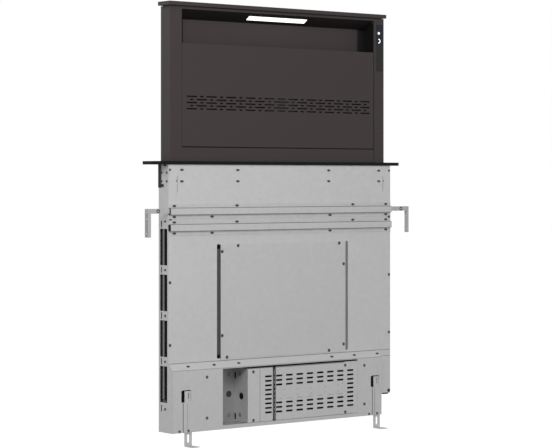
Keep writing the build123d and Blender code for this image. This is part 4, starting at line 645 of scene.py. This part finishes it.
def obround(bm, centre, half_length, half_height, thickness, turn=FACE_FRONT, steps=16):
    """A thin plate with round ends, lying on a sheet and facing the way that turn gives."""
    circle = bmesh.ops.create_circle(bm, cap_ends=True, segments=steps, radius=half_height)
    verts = circle["verts"]
    for side in (-1, 1):
        outer = [v for v in verts if v.co.x * side > SAME_POINT]
        bmesh.ops.translate(bm, vec=(side * (half_length - half_height), 0, 0), verts=outer)
    face = verts[0].link_faces[0]
    raised = bmesh.ops.extrude_face_region(bm, geom=[face])["geom"]
    lifted = [item for item in raised if isinstance(item, bmesh.types.BMVert)]
    bmesh.ops.translate(bm, vec=(0, 0, thickness), verts=lifted)
    place_shape(bm, verts + lifted, turn, centre)


def turned(bm, profile, centre, turn=FACE_FRONT, steps=24):
    """A shape spun from (radius, height above the sheet) points about the axis that turn gives."""
    verts = [bm.verts.new((radius, 0, height)) for radius, height in profile]
    edges = [bm.edges.new(pair) for pair in zip(verts, verts[1:] + verts[:1])]
    before = set(bm.verts) - set(verts)
    bmesh.ops.spin(bm, geom=verts + edges, axis=(0, 0, 1), cent=(0, 0, 0), dvec=(0, 0, 0),
                   angle=2 * math.pi, steps=steps, use_merge=True, use_duplicate=False)
    made = [v for v in bm.verts if v not in before]
    bmesh.ops.remove_doubles(bm, verts=made, dist=SAME_POINT)
    loose = [edge for edge in bm.edges if not edge.link_faces]
    bmesh.ops.delete(bm, geom=loose, context="EDGES")
    place_shape(bm, [v for v in bm.verts if v not in before], turn, centre)


def ring(inner, crest, outer, height):
    """Profile of a flat ring with a sloped outer edge."""
    return (inner, 0), (inner, height), (crest, height), (outer, 0)


def padded_plate(bm, low, high, bevel):
    """A small block between two corners with its edges rounded."""
    size = Vector(high) - Vector(low)
    verts = bmesh.ops.create_cube(bm, size=1.0)["verts"]
    bmesh.ops.scale(bm, vec=size, verts=verts)
    bmesh.ops.translate(bm, vec=(Vector(low) + Vector(high)) / 2, verts=verts)
    edges = list({edge for v in verts for edge in v.link_edges})
    bmesh.ops.bevel(bm, geom=edges, offset=bevel, offset_type="OFFSET", segments=2, profile=0.5,
                    material=-1, affect="EDGES")


def solid_middles(node):
    """Middle of every separate solid of a node."""
    bm = bmesh.new()
    bm.from_mesh(frame["nodes"][node].data)
    bmesh.ops.remove_doubles(bm, verts=bm.verts, dist=SAME_POINT)
    seen, middles = set(), []
    for start in bm.verts:
        if start in seen:
            continue
        reached, waiting = {start}, [start]
        while waiting:
            for edge in waiting.pop().link_edges:
                for vert in edge.verts:
                    if vert not in reached:
                        reached.add(vert)
                        waiting.append(vert)
        seen |= reached
        spans = [(min(values), max(values)) for values in zip(*(v.co for v in reached))]
        middles.append(Vector([(low + high) / 2 for low, high in spans]))
    bm.free()
    return middles


# ---------------------------------------------------------------- added pieces
PANEL_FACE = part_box("chassis_front_panel")[0].y
COVER_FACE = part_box("blower_cover")[0].y         # the channels' flanges lie in this plane too
BOX_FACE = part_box("terminal_cover")[0].y
MARK_HEIGHT = 0.00012
RING_HEIGHT = 0.0003
EDGE_COLUMN = 0.40                               # screws further out sit at the panel's edges
FRONT_ROWS = -0.030                              # screws further forward sit on the front
CHANNELS_LOW = -0.20                             # screws above it hold the channels
BOX_LOW = -0.74                                  # screws below it hold the box's bottom
STEP_SCREWS, STEP_REACH = -0.567, 0.01           # height of the step's screws, and how near it
STEP_TOP, STEP_HEIGHT, STEP_DEPTH = -0.557, 0.019, 0.0185
STEP_LEAN = 44.2                                 # degrees from upright
STEP_TURN = Matrix.Rotation(math.radians(90 - STEP_LEAN), 4, "X")


def screw_slots():
    """Slots behind the screws of the panel, of the channels and of the step, drawn as thin dark
    plates: painted shade for their openings.
    """
    panel_slot = (0.0064, 0.0027, MARK_HEIGHT)   # half length, half height, thickness
    channel_slot = (0.0064, 0.0029, MARK_HEIGHT)
    step_slot = (0.0060, 0.0027, 0.0004)
    step_middle = (PANEL_FACE - STEP_DEPTH / 2, STEP_TOP - STEP_HEIGHT / 2)
    bm = bmesh.new()
    for spot in solid_middles("chassis_screws"):
        if abs(spot.x) < EDGE_COLUMN and spot.y < FRONT_ROWS:
            obround(bm, (spot.x, PANEL_FACE, spot.z), *panel_slot)
    for spot in solid_middles("cover_screws"):
        if spot.z > CHANNELS_LOW:
            obround(bm, (spot.x, COVER_FACE, spot.z), *channel_slot)
    for spot in solid_middles("box_screws"):
        if abs(spot.z - STEP_SCREWS) < STEP_REACH:
            obround(bm, (spot.x, *step_middle), *step_slot, STEP_TURN)
    finish_piece("screw_slots", bm, finishes["zinc_screw"], "root")


def screw_shadow_rings():
    """Rings of painted shadow round the screws of the cover, of the lower box and of the panel's
    edges.
    """
    profile = ring(0.0036, 0.0047, 0.0050, RING_HEIGHT)
    for name, node, sheet, finish, slot in (
        ("screw_shadow_rings", "cover_screws", COVER_FACE, finishes["zinc_screw"], "zinc_screw"),
        ("box_screw_shadow_rings", "box_screws", BOX_FACE, faint_zinc, "galvanised"),
    ):
        bm = bmesh.new()
        for spot in solid_middles(node):
            on_step = abs(spot.z - STEP_SCREWS) < STEP_REACH
            if BOX_LOW < spot.z < CHANNELS_LOW and not on_step:
                turned(bm, profile, (spot.x, sheet, spot.z), steps=20)
        finish_piece(name, bm, finish, "root")
    profile = ring(0.0030, 0.0043, 0.0047, RING_HEIGHT)
    bm = bmesh.new()
    for spot in solid_middles("chassis_screws"):
        if abs(spot.x) > EDGE_COLUMN and spot.y < FRONT_ROWS and spot.z < CHANNELS_LOW:
            turned(bm, profile, (spot.x, PANEL_FACE, spot.z), steps=20)
    finish_piece("edge_screw_shadow_rings", bm, finishes["zinc_screw"], "root")


def touch_marks():
    """White touch marks on the glass: a round key and an open arc under it."""
    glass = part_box("touch_glass")[0].y
    lit = glowing("lit_touch_mark", (0.86, 0.93, 1.0), (0.989, 1.0, 1.0),
                  drift_scale=400.0, strength=0.9, roughness=0.5)
    bm = bmesh.new()
    obround(bm, (0.3795, glass, 0.4012), 0.0042, 0.0036, MARK_HEIGHT, steps=24)
    finish_piece("touch_key_mark", bm, lit, "tower")
    bm = bmesh.new()
    inner, outer = 0.0042, 0.0068
    start, sweep = math.radians(-105), math.radians(205)
    corners = [(inner, 0), (outer, 0), (outer, MARK_HEIGHT), (inner, MARK_HEIGHT)]
    verts = [bm.verts.new((r * math.cos(start), r * math.sin(start), h)) for r, h in corners]
    face = bm.faces.new(verts)
    bmesh.ops.spin(bm, geom=[face] + list(face.edges) + verts, axis=(0, 0, 1), cent=(0, 0, 0),
                   dvec=(0, 0, 0), angle=sweep, steps=18, use_merge=False, use_duplicate=False)
    place_shape(bm, bm.verts, FACE_FRONT, (0.3790, glass, 0.3777))
    finish_piece("touch_level_mark", bm, lit, "tower")


def wiring_bay_details():
    """Pressed knock-outs, tab slots and the rubber grommet of the wiring bay."""
    back = 0.0075                                # front face of the bay's back wall
    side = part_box("electronics_box")[0].x
    tab_slot = (0.0080, 0.0022, 0.0003)          # half length, half height, thickness
    dimple = (
        (0.0, 0.0003), (0.0040, 0.0003), (0.0048, 0.0005), (0.0062, 0.0005), (0.0067, 0.0),
        (0.0, 0.0),
    )
    grommet = (
        (0.0, 0.0004), (0.0060, 0.0003), (0.0068, 0.0012), (0.0080, 0.0012), (0.0092, 0.0006),
        (0.0092, 0.0001), (0.0088, 0.0001), (0.0088, -0.0011), (0.0, -0.0011),
    )
    bm = bmesh.new()
    for z in (-0.6021, -0.7203):
        turned(bm, dimple, (-0.1701, back, z), steps=20)
    for z in (-0.6002, -0.7182):
        turned(bm, dimple, (side, -0.0179, z), FACE_LEFT, steps=20)
    finish_piece("bay_knockouts", bm, faint_zinc, "root")
    bm = bmesh.new()
    # The tab slots are thin black plates on the wall: painted shade for their openings.
    for z in (-0.6047, -0.7225):
        obround(bm, (side, 0.0047, z), *tab_slot, FACE_LEFT)
    finish_piece("bay_tab_slots", bm, finishes["guide_plastic"], "root")
    bm = bmesh.new()
    turned(bm, grommet, (-0.1700, back, -0.6590), steps=28)
    grey_rubber = coated("grommet_rubber", (0.075, 0.075, 0.076), (0.045, 0.045, 0.046),
                         0.7, grain=900.0, specular=0.2)
    finish_piece("rear_cable_grommet", bm, grey_rubber, "root")


def cover_details():
    """Rivets that hold the board behind the slotted cover, and a row of slots left unpunched."""
    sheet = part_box("control_cover")[0].y
    rivet = ((0.0, 0.0005), (0.0011, 0.0004), (0.0017, 0.0), (0.0, 0.0))
    columns = (-0.0154, 0.0368, 0.0866, 0.1388, 0.1910)
    spots = [(x, z) for z in (-0.6510, -0.6687) for x in columns] + [(0.2076, -0.6469)]
    bm = bmesh.new()
    for x, z in spots:
        turned(bm, rivet, (x, sheet, z), steps=10)
    finish_piece("board_rivets", bm, faint_zinc, "root")
    bm = bmesh.new()
    for x in (-0.0265, 0.0049, 0.0437, 0.0825, 0.1213, 0.1595, 0.1968):
        half_length = 0.0105 if x > 0 else 0.0060
        obround(bm, (x, sheet, -0.6766), half_length, 0.0006, 0.0002, steps=12)
    finish_piece("unpunched_slots", bm, faint_zinc, "root")


def chassis_details():
    """Black edge pieces at the wing's foot and on the side walls, and notches in the front."""
    low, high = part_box("chassis_front_panel")
    button = ((0.0, 0.0018), (0.0036, 0.0016), (0.0052, 0.0006), (0.0053, 0.0), (0.0, 0.0))
    bm = bmesh.new()
    turned(bm, button, (0.4082, PANEL_FACE, -0.6815), steps=16)
    padded_plate(bm, (0.3840, PANEL_FACE - 0.0006, low.z - 0.0030),
                 (0.4060, PANEL_FACE + 0.0180, low.z + 0.0010), 0.0006)
    finish_piece("wing_edge_buffer", bm, finishes["guide_plastic"], "root")
    tabs = (((-0.0252, -0.0118), (-0.0046, 0.0006)), ((-0.0118, 0.0130), (-0.0630, -0.0545)))
    bm = bmesh.new()
    for side in (-1, 1):
        for (y0, y1), (z0, z1) in tabs:
            x0, x1 = sorted((side * high.x, side * (high.x + 0.0014)))
            padded_plate(bm, (x0, y0, z0), (x1, y1, z1), 0.0004)
    finish_piece("side_guide_tabs", bm, finishes["guide_plastic"], "root")
    # The notches are thin dark plates on the sheets: painted shade for their openings.
    bm = bmesh.new()
    for side, half_height in ((-1, 0.0024), (1, 0.0040)):
        obround(bm, (side * 0.4082, COVER_FACE, -0.1545), 0.0048, half_height, 0.0002)
        obround(bm, (side * 0.3870, PANEL_FACE, -0.0460), 0.0016, 0.0030, 0.0002)
    finish_piece("panel_notches", bm, finishes["zinc_screw"], "root")


def slot_strips():
    """Strips of painted shade close behind the long slots beside the cover, clear of the lowered
    tower; the left one darker than the right.
    """
    low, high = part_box("blower_cover")
    half_width, front, back = 0.0065, -0.0341, -0.0331
    for name, middle, short, light, dark in (
        ("left_slot_strip", low.x - 0.008, 0.013, (0.095, 0.096, 0.096), (0.080, 0.081, 0.081)),
        ("right_slot_strip", high.x + 0.008, -0.004, (0.260, 0.261, 0.261), (0.230, 0.231, 0.231)),
    ):
        bm = bmesh.new()
        padded_plate(bm, (middle - half_width, front, low.z + short),
                     (middle + half_width, back, high.z - short), 0.0003)
        grey = coated(name + "_grey", light, dark, 0.7, grain=900.0, specular=0.2)
        finish_piece(name, bm, grey, "root")


def arm_hole_rings():
    """Rings of painted shade round the hole in each arm, thin enough to slide behind the channel's
    sheet.
    """
    profile = ring(0.0015, 0.0056, 0.0060, MARK_HEIGHT)
    hole_height = -0.13025
    for node, x in (("left_arm", -0.453), ("right_arm", 0.453)):
        bm = bmesh.new()
        turned(bm, profile, (x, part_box(node)[0].y, hole_height), steps=20)
        finish_piece(node + "_hole_shade_ring", bm, finishes["zinc_screw"], node)


screw_slots()
screw_shadow_rings()
touch_marks()
wiring_bay_details()
cover_details()
chassis_details()
slot_strips()
arm_hole_rings()
